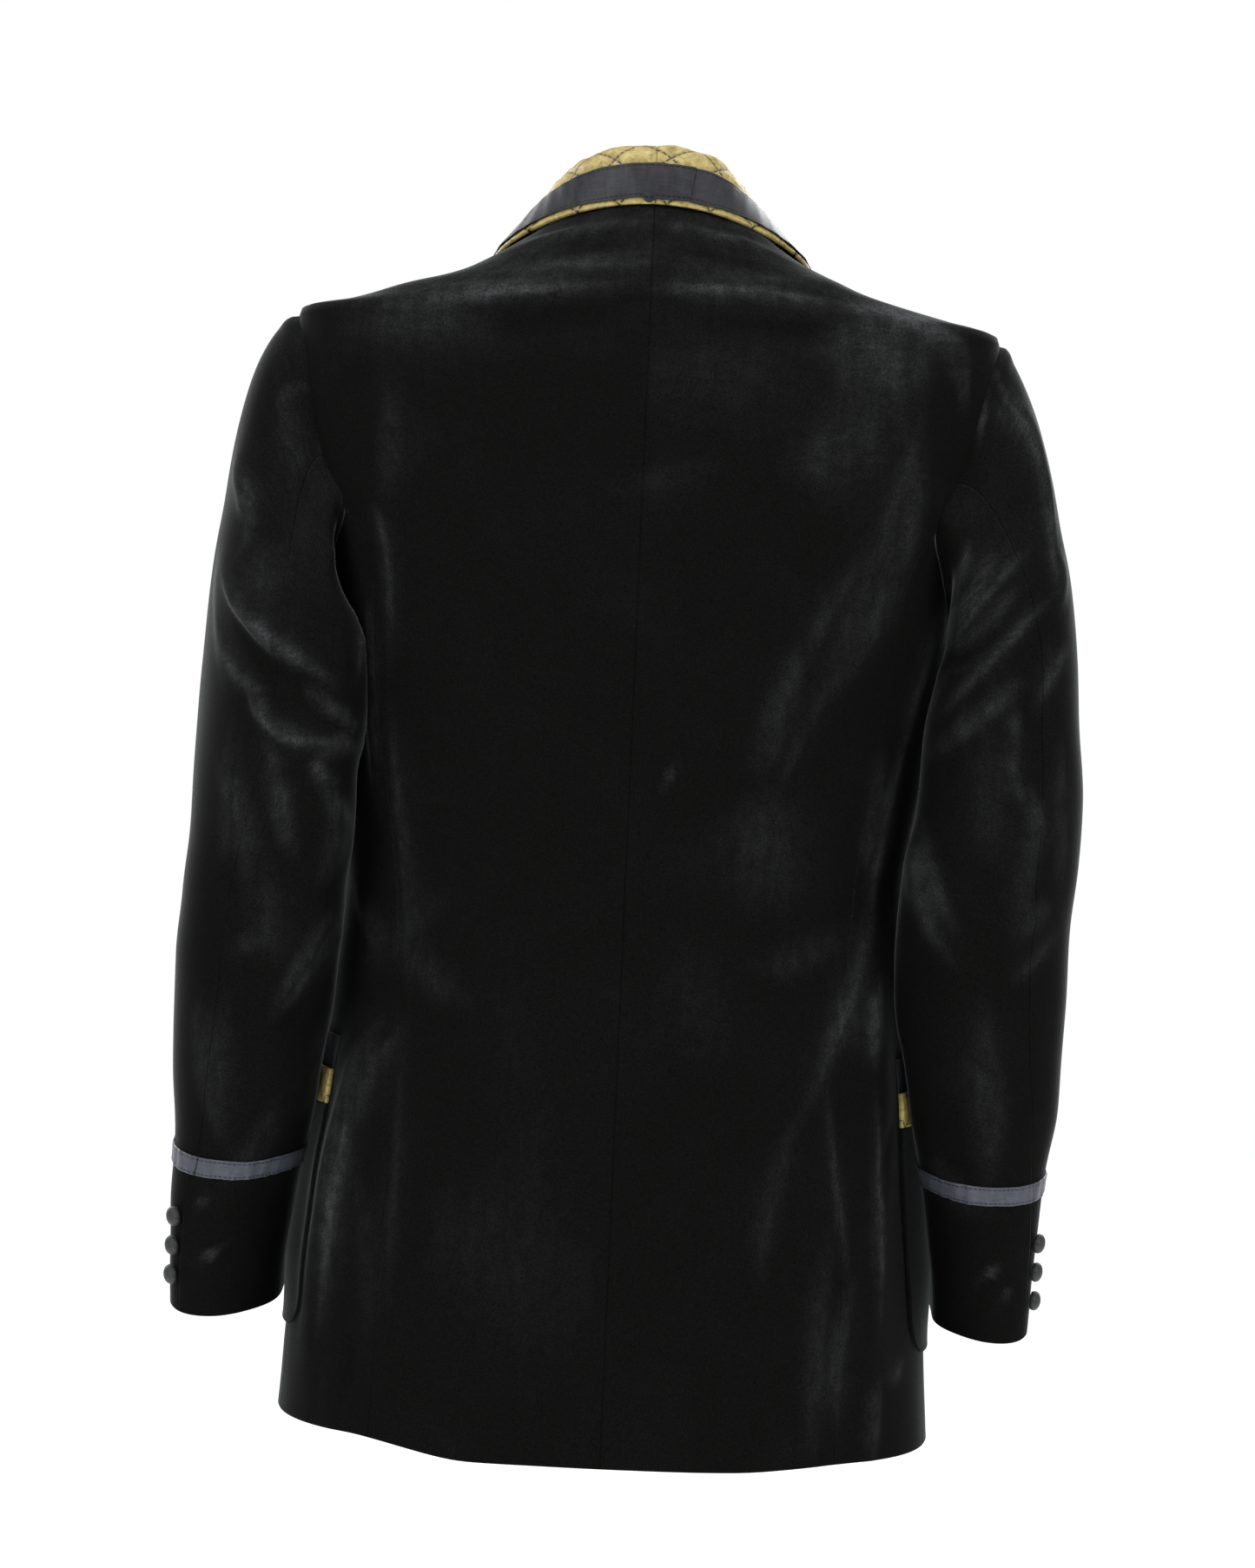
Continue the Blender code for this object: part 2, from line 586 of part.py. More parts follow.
def body_panel(name, side, columns, rows, places, first_turn, second_turn, cloth,
               columns_at=None):
    """A panel between two seams, on rows whose places are the same on both sides of a seam."""
    def surface(across, up, out):
        place = places(across, up * rows)
        first = first_turn(place)
        second = second_turn(place)
        first = first + turn_for(place, first, SEAM / 2)
        second = second - turn_for(place, second, SEAM / 2)
        return body_out(side, place, first + (second - first) * across, out)
    return wall(name, columns, rows, surface, VELVET, cloth, columns_at=columns_at)


def side_top(across):
    """Place where each line up the side panel meets the armhole."""
    height = np.full(np.shape(across), -215.0)
    for _ in range(12):
        place = place_at(height)
        first, second = front_side_turn(place), turn_at(place, read(SIDE_BACK, height).across)
        turn = first + (second - first) * across
        height = 0.4 * height + 0.6 * np.interp(turn, LOOP_LOW[:, 1], LOOP_LOW[:, 0])
    return place_at(height - SEAM)


def build_body(side, word, velvet):
    skirt = [0, 0.01, 0.03, 0.06] + [0.06 + (UNDERARM_PLACE - 0.06) * i / 12 for i in range(1, 13)]
    shoulder = [1 + i / 6 for i in range(1, 7)]
    meeting = side_top(np.array([0.0, 1.0]))

    def rows_to_neck(seam_top, armhole_rows):
        seam = [UNDERARM_PLACE + (seam_top - UNDERARM_PLACE) * i / 3 for i in range(1, 4)]
        armhole = [seam_top + (1 - seam_top) * i / armhole_rows for i in range(1, armhole_rows + 1)]
        return skirt + seam + armhole + shoulder

    def level(rows):
        return lambda across, row: np.interp(row, range(len(rows)), rows)

    def up_to_armhole(across, row):
        high = UNDERARM_PLACE + (side_top(across) - UNDERARM_PLACE) * (row - len(skirt) + 1) / 3
        return np.where(row < len(skirt), np.interp(row, range(len(skirt)), skirt), high)

    def centre_back(place):
        return np.full(np.shape(place), 90.0)

    def side_back(place):
        return turn_at(place, read(SIDE_BACK, read(BODY, place).height).across)

    back = rows_to_neck(meeting[1], 7)
    front = rows_to_neck(meeting[0], 9)
    body_panel("back_" + word, side, 7, len(back) - 1, level(back), back_side_turn,
               centre_back, velvet)
    body_panel("side_" + word, side, 5, len(skirt) + 2, up_to_armhole, front_side_turn,
               side_back, velvet)
    return body_panel("front_" + word, side, 8, len(front) - 1, level(front), panel_edge_turn,
                      front_side_turn, velvet,
                      columns_at=[0, 0.1, 0.2, 0.32, 0.45, 0.58, 0.72, 0.86, 1])


def hind_seam(side, place):
    seam = read(HIND_SEAM, place)
    return seam.left if side > 0 else seam.right


def build_sleeve(side, word, velvet, slate):
    gap_turn = math.degrees(SEAM / 2 / 45)
    rows = np.array([0, 0.05, 0.13, 0.24, 0.37, 0.5, 0.63, 0.76, 0.88]
                    + [1 + i / 12 for i in range(13)]) / 2

    def top_piece(across, up, out):
        place = 2 * (1 - up)
        low, high = FORE_SEAM_TURN - 360 + gap_turn, hind_seam(side, place) - gap_turn
        return sleeve_out(side, place, low + (high - low) * across, out)

    def under_piece(across, up, out):
        place = 2 * (1 - up)
        low, high = hind_seam(side, place) + gap_turn, FORE_SEAM_TURN - gap_turn
        return sleeve_out(side, place, low + (high - low) * across, out)

    up_rows = 1 - rows[::-1]
    sleeve_top = wall("sleeve_top_" + word, 10, len(rows) - 1, top_piece, VELVET, velvet,
                      rows_at=up_rows)
    wall("sleeve_under_" + word, 9, len(rows) - 1, under_piece, VELVET, velvet, rows_at=up_rows)

    length = SLEEVES[side][-1].below - SLEEVES[side][0].below
    middle = 2 - CUFF_RIBBON_ABOVE_EDGE / length
    half = CUFF_RIBBON_WIDTH / 2 / length
    join = 64.0 if side > 0 else 50.0

    def band(across, up, out):
        place = middle + half * (1 - 2 * up)
        turn = join + 0.2 + 359.6 * across
        return sleeve_out(side, place, turn, out + CUFF_RIBBON_ROOM + RIBBON)

    wall("cuff_ribbon_" + word, 28, 1, band, RIBBON, slate)
    return sleeve_top


def button(name, point, carrier, diameter, cord):
    """A cloth-covered dome that stands just off the nearest face of what carries it."""
    mesh = carrier.data
    faces = BVHTree.FromPolygons([vertex.co for vertex in mesh.vertices],
                                 [face.vertices for face in mesh.polygons])
    point, outward = (np.array(found) for found in faces.find_nearest(point * MM)[:2])
    point = point / MM
    dome = bmesh.new()
    bmesh.ops.create_uvsphere(dome, u_segments=12, v_segments=6, radius=diameter / 2)
    for vertex in dome.verts:
        vertex.co.z *= 0.55 if vertex.co.z > 0 else 0.28
        vertex.co.z += 0.14 * diameter + SEAM
    sideways = unit(np.cross(outward, (0.0, 0.0, 1.0)))
    upward = np.cross(sideways, outward)
    for vertex in dome.verts:
        x, y, z = vertex.co
        vertex.co = (point + sideways * x + upward * y + outward * z) * MM
    return add_object(name, dome, cord)


def build_cuff_buttons(side, word, sleeve_top, cord):
    length = SLEEVES[side][-1].below - SLEEVES[side][0].below
    for i in range(3):
        place = 2 - (CUFF_BUTTON_ABOVE_EDGE + CUFF_BUTTON_PITCH * i) / length
        turn = np.array(hind_seam(side, place) - 9)
        point = sleeve_out(side, np.array(place), turn, np.array(0.0))
        button(f"cuff_button_{word}_{i + 1}", point, sleeve_top, CUFF_BUTTON, cord)


def build_collar(side, word, gold, satin):
    end = COLLAR_FRONT[-1].along
    half_seam = SEAM / 2

    def shawl(across, up, out):
        along = half_seam + (end - half_seam) * (1 - up)
        return collar_out(side, along, across, out)

    # The ribbon's rows are the collar's own, so that both bend alike
    start = -COLLAR_RIBBON_JOIN if side > 0 else COLLAR_RIBBON_JOIN + SEAM
    finish = end - 22
    rows = [half_seam + (end - half_seam) * i / 40 for i in range(41)]
    rows = [row for row in rows if start + 5 < row < finish - 5]
    rows = np.array(([start, -9.0] if side > 0 else [start]) + rows + [finish])

    def ribbon(across, up, out):
        along = start + (finish - start) * (1 - up)
        length = fall_length(side, np.abs(along))
        narrow = np.clip((length - 2 * COLLAR_RIBBON_MARGIN) / COLLAR_RIBBON_WIDTH, 0.1, 1)
        from_edge = COLLAR_RIBBON_MARGIN + COLLAR_RIBBON_WIDTH * narrow * (1 - across)
        place = 1 - (1 - STAND_SHARE) * from_edge / length
        return collar_out(side, along, place, out + COLLAR_RIBBON_ROOM + RIBBON, quilted=False)

    columns_at = [0, 0.12, 0.25] + [0.25 + 0.75 * (i + 1) / 7 for i in range(7)]
    wall("collar_" + word, 9, 40, shawl, QUILT, gold, columns_at=columns_at)
    wall("collar_ribbon_" + word, 2, len(rows) - 1, ribbon, RIBBON, satin,
         rows_at=((finish - rows) / (finish - start))[::-1])


def build_pocket(side, word, velvet, gold, satin):
    """A patch with a ribbon and a quilted band along its mouth, lying round front and side."""
    rear_turn, front_across = 25.0, 86.0

    def lying(across, height, out, inset):
        place = place_at(height)
        rear = rear_turn - turn_for(place, rear_turn, inset)
        front = -turn_at(place, front_across + inset)
        turn = front + (rear - front) * across
        return body_out(side, place, turn, out + POCKET_ROOM)

    def strip(top, width, thickness, quilted):
        def surface(across, up, out):
            height = top - width * (1 - up)
            rise = 0.0
            if quilted:
                rise = (out > -0.01) * quilting(across * 150, up * width)
            return lying(across, height, out + thickness + rise, 0.0)
        return surface

    def patch(across, up, out):
        top = POCKET_TOP - POCKET_RIBBON_WIDTH - POCKET_BAND_WIDTH - 2 * SEAM
        height = POCKET_BOTTOM + (top - POCKET_BOTTOM) * up
        low = np.clip(1 - (height - POCKET_BOTTOM) / POCKET_CORNER, 0, 1)
        inset = POCKET_CORNER * (1 - np.sqrt(1 - 0.98 * low * low))
        return lying(across, height, out + VELVET, inset)

    ribbon = strip(POCKET_TOP, POCKET_RIBBON_WIDTH, RIBBON, False)
    band = strip(POCKET_TOP - POCKET_RIBBON_WIDTH - SEAM, POCKET_BAND_WIDTH, QUILT, True)
    wall("pocket_ribbon_" + word, 18, 1, ribbon, RIBBON, satin)
    wall("pocket_band_" + word, 20, 3, band, QUILT, gold)
    wall("pocket_" + word, 16, 9, patch, VELVET, velvet,
         rows_at=[0, 0.02, 0.06, 0.12, 0.19, 0.32, 0.5, 0.68, 0.84, 1])


def build_front_button(front_left, cord):
    place = np.array(place_at(FRONT_BUTTON_HEIGHT))
    turn = np.array(-90.0)
    point = body_out(1, place, turn, np.array(0.0))
    button("front_button", point, front_left, FRONT_BUTTON, cord)


def main():
    for leftover in list(bpy.data.objects):
        bpy.data.objects.remove(leftover)
    velvet = material("black velvet", (0.008, 0.009, 0.010), 0.9)
    gold = material("quilted gold satin", (0.33, 0.24, 0.05), 0.4)
    satin = material("black satin ribbon", (0.020, 0.021, 0.025), 0.35)
    slate = material("slate satin ribbon", (0.10, 0.11, 0.15), 0.4)
    cord = material("black corded silk", (0.012, 0.012, 0.014), 0.6)
    for side, word in ((1, "left"), (-1, "right")):
        front = build_body(side, word, velvet)
        if side > 0:
            build_front_button(front, cord)
        sleeve_top = build_sleeve(side, word, velvet, slate)
        build_cuff_buttons(side, word, sleeve_top, cord)
        build_collar(side, word, gold, satin)
        build_pocket(side, word, velvet, gold, satin)


main()
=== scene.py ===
import math
from collections import namedtuple

import bmesh
import bpy
import numpy as np
from mathutils import Matrix, Vector


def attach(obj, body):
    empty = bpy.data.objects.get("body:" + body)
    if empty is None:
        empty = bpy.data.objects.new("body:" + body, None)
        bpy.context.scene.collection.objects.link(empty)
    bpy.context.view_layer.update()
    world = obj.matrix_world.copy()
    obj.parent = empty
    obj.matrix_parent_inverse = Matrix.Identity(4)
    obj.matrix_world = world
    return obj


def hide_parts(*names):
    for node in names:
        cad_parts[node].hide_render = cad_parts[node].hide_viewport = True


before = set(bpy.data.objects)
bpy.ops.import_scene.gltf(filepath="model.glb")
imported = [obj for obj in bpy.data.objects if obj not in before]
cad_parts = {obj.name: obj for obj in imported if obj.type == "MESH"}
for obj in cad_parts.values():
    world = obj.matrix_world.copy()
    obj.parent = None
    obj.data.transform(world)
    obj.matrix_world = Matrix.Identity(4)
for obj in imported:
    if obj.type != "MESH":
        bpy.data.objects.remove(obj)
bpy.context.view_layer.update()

# The back: two panels of black cotton velvet, joined down the middle by a seam that hangs plumb.
# They carry the shape of the shoulder blades and the waist, and the arched folds that the collar
# presses into the velvet. Every size here is in millimetres, and heights are below the neck.
MM = 0.001
VELVET = 2.0

# The room at a seam is a little less than none, so that no light shows between the two pieces
SEAM = -0.02
SHOULDER_ROUND = 0.025
LYING = 0.4
UNDERARM_PLACE = 0.70
HEM_LIFT = {1: 9.0, -1: 4.0}

# The body, as level rings: place is 0 at the hem, 1 at the shoulder tips and 2 at the neck
Ring = namedtuple("Ring", "place height half back front widest square lift")
BODY = (
    Ring(0.000, -763, 213, 110, -138, -48, 2.50, 0),
    Ring(0.115, -680, 209, 110, -136, -60, 2.45, 0),
    Ring(0.285, -560, 196, 108, -130, -72, 2.35, 0),
    Ring(0.410, -470, 190, 103, -124, -68, 2.25, 0),
    Ring(0.505, -400, 186, 98, -119, -58, 2.20, 0),
    Ring(0.590, -340, 190, 100, -122, -38, 2.22, 0),
    Ring(0.675, -278, 197, 106, -129, -16, 2.30, 0),
    Ring(0.755, -221, 201, 113, -133, 6, 2.40, 0),
    Ring(0.870, -138, 218, 118, -126, 9, 2.40, 0),
    Ring(0.940, -88, 224, 115, -110, 10, 2.35, 0),
    Ring(1.000, -46, 226, 106, -94, 10, 2.25, 0),
    Ring(1.150, -39.5, 203, 103.5, -88, 10, 2.20, 4),
    Ring(1.280, -35.5, 183, 101, -82, 10, 2.20, 10),
    Ring(1.410, -32.5, 163, 98, -76, 10, 2.20, 17),
    Ring(1.550, -27, 142, 93, -68, 10, 2.20, 22),
    Ring(1.680, -18.5, 122, 88, -60, 10, 2.20, 23.5),
    Ring(1.820, -7.5, 101, 81, -52, 10, 2.20, 23.5),
    Ring(1.930, 3, 84, 74, -44, 10, 2.20, 21),
    Ring(2.000, 10, 73, 69, -38, 10, 2.20, 20),
)
Seam = namedtuple("Seam", "height across")
SIDE_BACK = (
    Seam(-763, 146), Seam(-680, 145), Seam(-600, 141), Seam(-540, 139), Seam(-440, 143),
    Seam(-400, 146), Seam(-340, 152), Seam(-280, 160), Seam(-221, 164), Seam(-192, 174),
    Seam(-172, 189),
)
Turn = namedtuple("Turn", "height turn")
SIDE_FRONT = (
    Turn(-763, 14), Turn(-680, 13), Turn(-560, 10), Turn(-470, 3), Turn(-400, -5),
    Turn(-340, -12), Turn(-280, -20), Turn(-218, -27),
)
ARMHOLE = (
    Turn(-46, 0), Turn(-62, 12), Turn(-97, 19), Turn(-140, 23), Turn(-172, 29),
    Turn(-198, 20), Turn(-218, 9), Turn(-230, -4), Turn(-231, -16), Turn(-218, -27),
    Turn(-190, -34), Turn(-160, -35), Turn(-120, -31), Turn(-85, -22), Turn(-62, -12),
)

# Folds and creases by where the crest runs, as seen from outside. across is measured from the
# centre line to the side that the list is for, and a trough has less than no rise. The fine
# folds are narrower than FINE_FOLD and are deepened by their relief further down.
FINE_FOLD = 12
BACK_FINE_RELIEF = 1.3
SLEEVE_FINE_RELIEF = 1.35
Fold = namedtuple("Fold", "across_1 height_1 across_2 height_2 across_3 height_3 width rise")
BACK_FOLDS = {
    1: (
        Fold(-30, -28, 80, -36, 185, -34, 15, 3.5),
        Fold(188, -50, 184, -110, 187, -200, 16, -5.0),
        Fold(172, -190, 158, -300, 146, -420, 17, 3.5),
        Fold(146, -490, 172, -560, 190, -790, 18, 5.0),
        Fold(158, -620, 161, -700, 163, -790, 14, -4.0),
        Fold(-12, 11, 46, 3, 97, -12, 4.5, 1.8),
        Fold(-6, -7, 50, -13, 112, -26, 6.5, -1.6),
        Fold(-20, -31, 70, -37, 160, -36, 5.5, 1.3),
        Fold(20, -54, 92, -62, 168, -70, 11, -1.2),
        Fold(169, -210, 164, -292, 155, -384, 4.5, 1.9),
        Fold(178, -236, 176, -300, 165, -372, 6, -1.5),
        Fold(144, -488, 175, -572, 197, -744, 6.5, 2.3),
        Fold(163, -678, 164, -716, 166, -766, 4.5, -2.0),
        Fold(150, -430, 120, -468, 84, -484, 10, 1.1),
        Fold(152, -404, 108, -408, 60, -398, 12, -0.9),
        Fold(176, -402, 163, -436, 150, -452, 6, 1.4),
        Fold(186, -620, 180, -690, 184, -770, 6, -1.6),
        Fold(60, -640, 66, -700, 70, -775, 22, 1.4),
        Fold(118, -600, 112, -690, 116, -775, 16, -1.3),
        Fold(166, -86, 160, -132, 166, -176, 9, 1.1),
    ),
    -1: (
        Fold(-30, -28, 60, -28, 140, -16, 15, 2.5),
        Fold(198, -50, 196, -140, 190, -240, 16, -4.0),
        Fold(172, -80, 150, -210, 105, -320, 26, 4.0),
        Fold(160, -400, 164, -560, 172, -790, 17, 5.0),
        Fold(134, -540, 133, -660, 133, -790, 17, 2.5),
        Fold(-12, 11, 44, 2, 93, -9, 4.5, 1.7),
        Fold(-6, -7, 46, -15, 100, -24, 6.5, -1.4),
        Fold(-20, -31, 62, -27, 128, -18, 5.5, 1.1),
        Fold(26, -56, 88, -60, 150, -54, 11, -1.1),
        Fold(186, -50, 191, -66, 197, -86, 4.0, 1.5),
        Fold(199, -46, 201, -76, 203, -104, 4.0, 1.6),
        Fold(176, -98, 158, -206, 110, -294, 10, 1.7),
        Fold(103, -246, 93, -296, 79, -344, 9, 1.4),
        Fold(140, -226, 122, -286, 96, -338, 8, -1.3),
        Fold(171, -700, 170, -735, 171, -772, 4.5, 2.1),
        Fold(178, -540, 164, -600, 160, -680, 6, -1.6),
        Fold(137, -600, 131, -690, 134, -775, 6, 1.3),
        Fold(150, -420, 112, -446, 74, -450, 10, 1.1),
        Fold(148, -392, 96, -388, 48, -396, 12, -0.9),
        Fold(56, -620, 52, -690, 48, -775, 20, -1.2),
        Fold(96, -640, 102, -710, 98, -775, 14, 1.2),
        Fold(160, -300, 158, -350, 150, -396, 6, 1.4),
    ),
}
FRONT_FOLDS = {
    1: (
        Fold(14, -404, 84, -394, 158, -362, 8, 1.9),
        Fold(12, -416, 80, -436, 160, -478, 9, 1.8),
        Fold(20, -424, 70, -458, 122, -512, 11, -1.2),
        Fold(176, -96, 158, -172, 148, -246, 13, 3.0),
        Fold(188, -120, 178, -188, 176, -236, 8, -2.0),
        Fold(146, -250, 128, -304, 120, -356, 10, 1.6),
        Fold(150, -714, 152, -740, 150, -775, 10, 2.0),
        Fold(60, -716, 54, -744, 52, -775, 14, 1.4),
        Fold(150, -66, 124, -86, 96, -104, 9, 1.4),
        Fold(180, -280, 168, -330, 158, -380, 8, 1.5),
    ),
    -1: (
        Fold(20, -402, 90, -388, 160, -366, 9, 1.7),
        Fold(26, -420, 92, -446, 162, -470, 8, 1.9),
        Fold(30, -410, 84, -414, 140, -420, 11, -1.1),
        Fold(178, -92, 162, -166, 146, -252, 14, 2.7),
        Fold(190, -118, 180, -180, 178, -230, 8, -1.8),
        Fold(138, -262, 126, -312, 124, -350, 9, 1.7),
        Fold(138, -712, 134, -742, 136, -775, 12, 1.7),
        Fold(78, -718, 82, -744, 80, -775, 12, -1.2),
        Fold(146, -62, 120, -80, 92, -94, 9, 1.2),
        Fold(176, -276, 166, -322, 160, -372, 8, 1.3),
    ),
}

# Painted highlights: lines where a grey-blue sheen is painted into the velvet's colour along its
# creases and folds, with a few spots where the nap is brushed lighter. Each line was placed on a
# cut of the picture, shown at CUT_SCALE: three points and a width in that cut's pixels, and how
# light it is. A fine mark is narrower than FINE_MARK millimetres. PIXEL and
# PICTURE_MIDDLE_HEIGHT are in metres, as the camera takes them.
Mark = namedtuple("Mark", "x_1 y_1 x_2 y_2 x_3 y_3 width light")
PICTURE_WIDE = 1445
PICTURE_HIGH = 1806
PICTURE_ROLL = math.radians(2.5)
PIXEL = 0.00055
CENTRE_LINE_PIXEL = 725
PICTURE_MIDDLE_HEIGHT = -0.34
CUT_LEFT = 190
CUT_TOP = 300
CUT_SCALE = 0.8411
BACK_NEARNESS = 1.02
SLEEVE_NEARNESS = 1.01
FINE_MARK = 10
FINE_MARK_SHARE = 0.72
BROAD_MARK_SHARE = 0.9
BACK_MARKS = (
    Mark(190, 46, 320, 36, 445, 31, 6, 0.40),
    Mark(440, 31, 560, 32, 670, 42, 6, 0.42),
    Mark(150, 62, 240, 60, 340, 68, 24, 0.13),
    Mark(640, 40, 720, 52, 790, 84, 13, 0.50),
    Mark(620, 70, 690, 90, 760, 120, 30, 0.20),
    Mark(280, 12, 400, 4, 520, 8, 10, 0.16),
    Mark(370, 262, 460, 218, 560, 200, 13, 0.05),
    Mark(590, 215, 650, 180, 730, 130, 26, 0.09),
    Mark(400, 120, 520, 110, 640, 130, 30, 0.05),
    Mark(745, 120, 700, 250, 610, 470, 9, 0.09),
    Mark(700, 250, 620, 380, 560, 510, 9, 0.09),
    Mark(680, 360, 625, 450, 585, 540, 7, 0.08),
    Mark(570, 500, 590, 570, 590, 660, 34, 0.08),
    Mark(775, 290, 742, 400, 716, 500, 5, 0.30),
    Mark(730, 440, 702, 560, 690, 650, 6, 0.34),
    Mark(700, 600, 670, 710, 600, 870, 10, 0.22),
    Mark(620, 820, 588, 910, 578, 1010, 10, 0.10),
    Mark(702, 690, 690, 740, 686, 800, 9, 0.36),
    Mark(640, 770, 650, 900, 662, 1010, 5, 0.13),
    Mark(684, 790, 694, 930, 690, 1070, 4, 0.30),
    Mark(672, 980, 652, 1070, 655, 1160, 9, 0.20),
    Mark(724, 1070, 716, 1092, 712, 1110, 6, 0.22),
    Mark(186, 800, 162, 920, 136, 1080, 6, 0.38),
    Mark(240, 730, 200, 790, 182, 870, 9, 0.13),
    Mark(178, 880, 190, 960, 186, 1080, 9, 0.07),
    Mark(196, 230, 214, 290, 216, 420, 5, 0.20),
    Mark(214, 400, 226, 560, 236, 760, 7, 0.12),
    Mark(232, 740, 222, 880, 212, 1060, 6, 0.08),
    Mark(190, 700, 220, 660, 300, 600, 16, 0.06),
    Mark(484, 494, 490, 497, 496, 500, 8, 0.20),
    Mark(240, 900, 320, 960, 380, 1100, 60, 0.03),
    Mark(500, 640, 520, 720, 510, 800, 30, 0.03),
)


def point_on_cloth(x, y, nearness):
    """Across and height, in millimetres, of a point of the cut."""
    pixel = PIXEL / MM / nearness
    aside = (CENTRE_LINE_PIXEL - CUT_LEFT - x / CUT_SCALE) * pixel
    above = (PICTURE_HIGH / 2 - CUT_TOP - y / CUT_SCALE) * pixel
    lean = math.tan(PICTURE_ROLL)
    return aside + above * lean, PICTURE_MIDDLE_HEIGHT / MM + above - aside * lean


def on_cloth(marks, nearness):
    """The marks as lines in millimetres, listed for the side of the jacket that each is on."""
    lists = {1: [], -1: []}
    for mark in marks:
        points = [point_on_cloth(x, y, nearness)
                  for x, y in ((mark.x_1, mark.y_1), (mark.x_2, mark.y_2), (mark.x_3, mark.y_3))]
        side = 1 if sum(across for across, height in points) >= 0 else -1
        width = mark.width * PIXEL / MM / CUT_SCALE
        width = width * (FINE_MARK_SHARE if width < FINE_MARK else BROAD_MARK_SHARE)
        places = [value for across, height in points for value in (side * across, height)]
        lists[side].append(Fold(*places, width, mark.light))
    return lists


def deepened(lists, relief):
    """The same folds, with the fine ones raised or sunk by that much more."""
    return {side: [fold._replace(rise=fold.rise * relief) if fold.width < FINE_FOLD else fold
                   for fold in folds] for side, folds in lists.items()}


def crests(lists, widest):
    """The folds that rise and are narrower than that."""
    return {side: [fold for fold in folds if fold.width < widest and fold.rise > 0]
            for side, folds in lists.items()}


BACK_PAINTED_SHEEN_AND_NAP = on_cloth(BACK_MARKS, BACK_NEARNESS)
BACK_FOLDS = deepened(BACK_FOLDS, BACK_FINE_RELIEF)


def read(rows, at):
    """Every column of a table at the given places, on a smooth curve that never overshoots."""
    table = np.array(rows, float)
    places, values = table[:, 0], table[:, 1:]
    steps = np.diff(places)[:, None]
    slopes = np.diff(values, axis=0) / steps
    before, after = slopes[:-1], slopes[1:]
    level = before * after <= 0
    inner = np.where(level, 0, 2 * before * after / np.where(level, 1, before + after))
    tangents = np.vstack([slopes[:1], inner, slopes[-1:]])
    at = np.clip(np.asarray(at, float), places[0], places[-1])
    row = np.clip(np.searchsorted(places, at, side="right") - 1, 0, len(places) - 2)
    step = steps[row]
    part = ((at - places[row]) / step[..., 0])[..., None]
    found = (
        values[row] * (1 + 2 * part) * (1 - part) ** 2
        + values[row + 1] * part * part * (3 - 2 * part)
        + tangents[row] * step * part * (1 - part) ** 2
        - tangents[row + 1] * step * part * part * (1 - part)
    )
    return type(rows[0])(at, *np.moveaxis(found, -1, 0))


def smooth(value, low, high):
    """Rises softly from 0 at low to 1 at high."""
    part = np.clip((value - low) / (high - low), 0, 1)
    return part * part * (3 - 2 * part)


def unit(vectors):
    return vectors / np.linalg.norm(vectors, axis=-1, keepdims=True)


def signed_power(value, power):
    return np.sign(value) * np.abs(value) ** power


def normal(surface, first, second, first_step, second_step):
    """Outward direction of a surface whose first coordinate runs up and second runs round."""
    up = surface(first + first_step, second) - surface(first - first_step, second)
    around = surface(first, second + second_step) - surface(first, second - second_step)
    return unit(np.cross(around, up))


def place_at(height):
    """Place of a height below the shoulder tips."""
    places = np.linspace(0, 1, 201)
    return np.interp(height, read(BODY, places).height, places)


def turn_at(place, across):
    """Turn on the ring, from the side to the back, where the body is that far across."""
    ring = read(BODY, place)
    share = np.clip(across / ring.half, -1, 1)
    return np.degrees(np.arccos(signed_power(share, ring.square / 2)))


def body_ring(place, turn):
    """Ring of the body on the left side. turn is 0 at the side, 90 at the back, -90 in front."""
    ring = read(BODY, place)
    cosine, sine = np.cos(np.radians(turn)), np.sin(np.radians(turn))
    power = 2 / ring.square
    depth = np.where(sine > 0, ring.back - ring.widest, ring.widest - ring.front)
    x = ring.half * signed_power(cosine, power)
    y = ring.widest + depth * signed_power(sine, power)
    z = ring.height + ring.lift * np.clip(sine, 0, 1) ** 2
    return np.stack(np.broadcast_arrays(x, y, z), axis=-1)


def body(place, turn):
    """Body surface on the left side, with the ridge of the shoulders softly rounded."""
    reach = SHOULDER_ROUND * np.exp(-(((np.asarray(place) - 1) / 0.08) ** 2))
    beside = body_ring(place - reach, turn) + body_ring(place + reach, turn)
    return 0.5 * body_ring(place, turn) + 0.25 * beside


def body_normal(place, turn):
    return normal(body, place, turn, 0.003, 0.5)


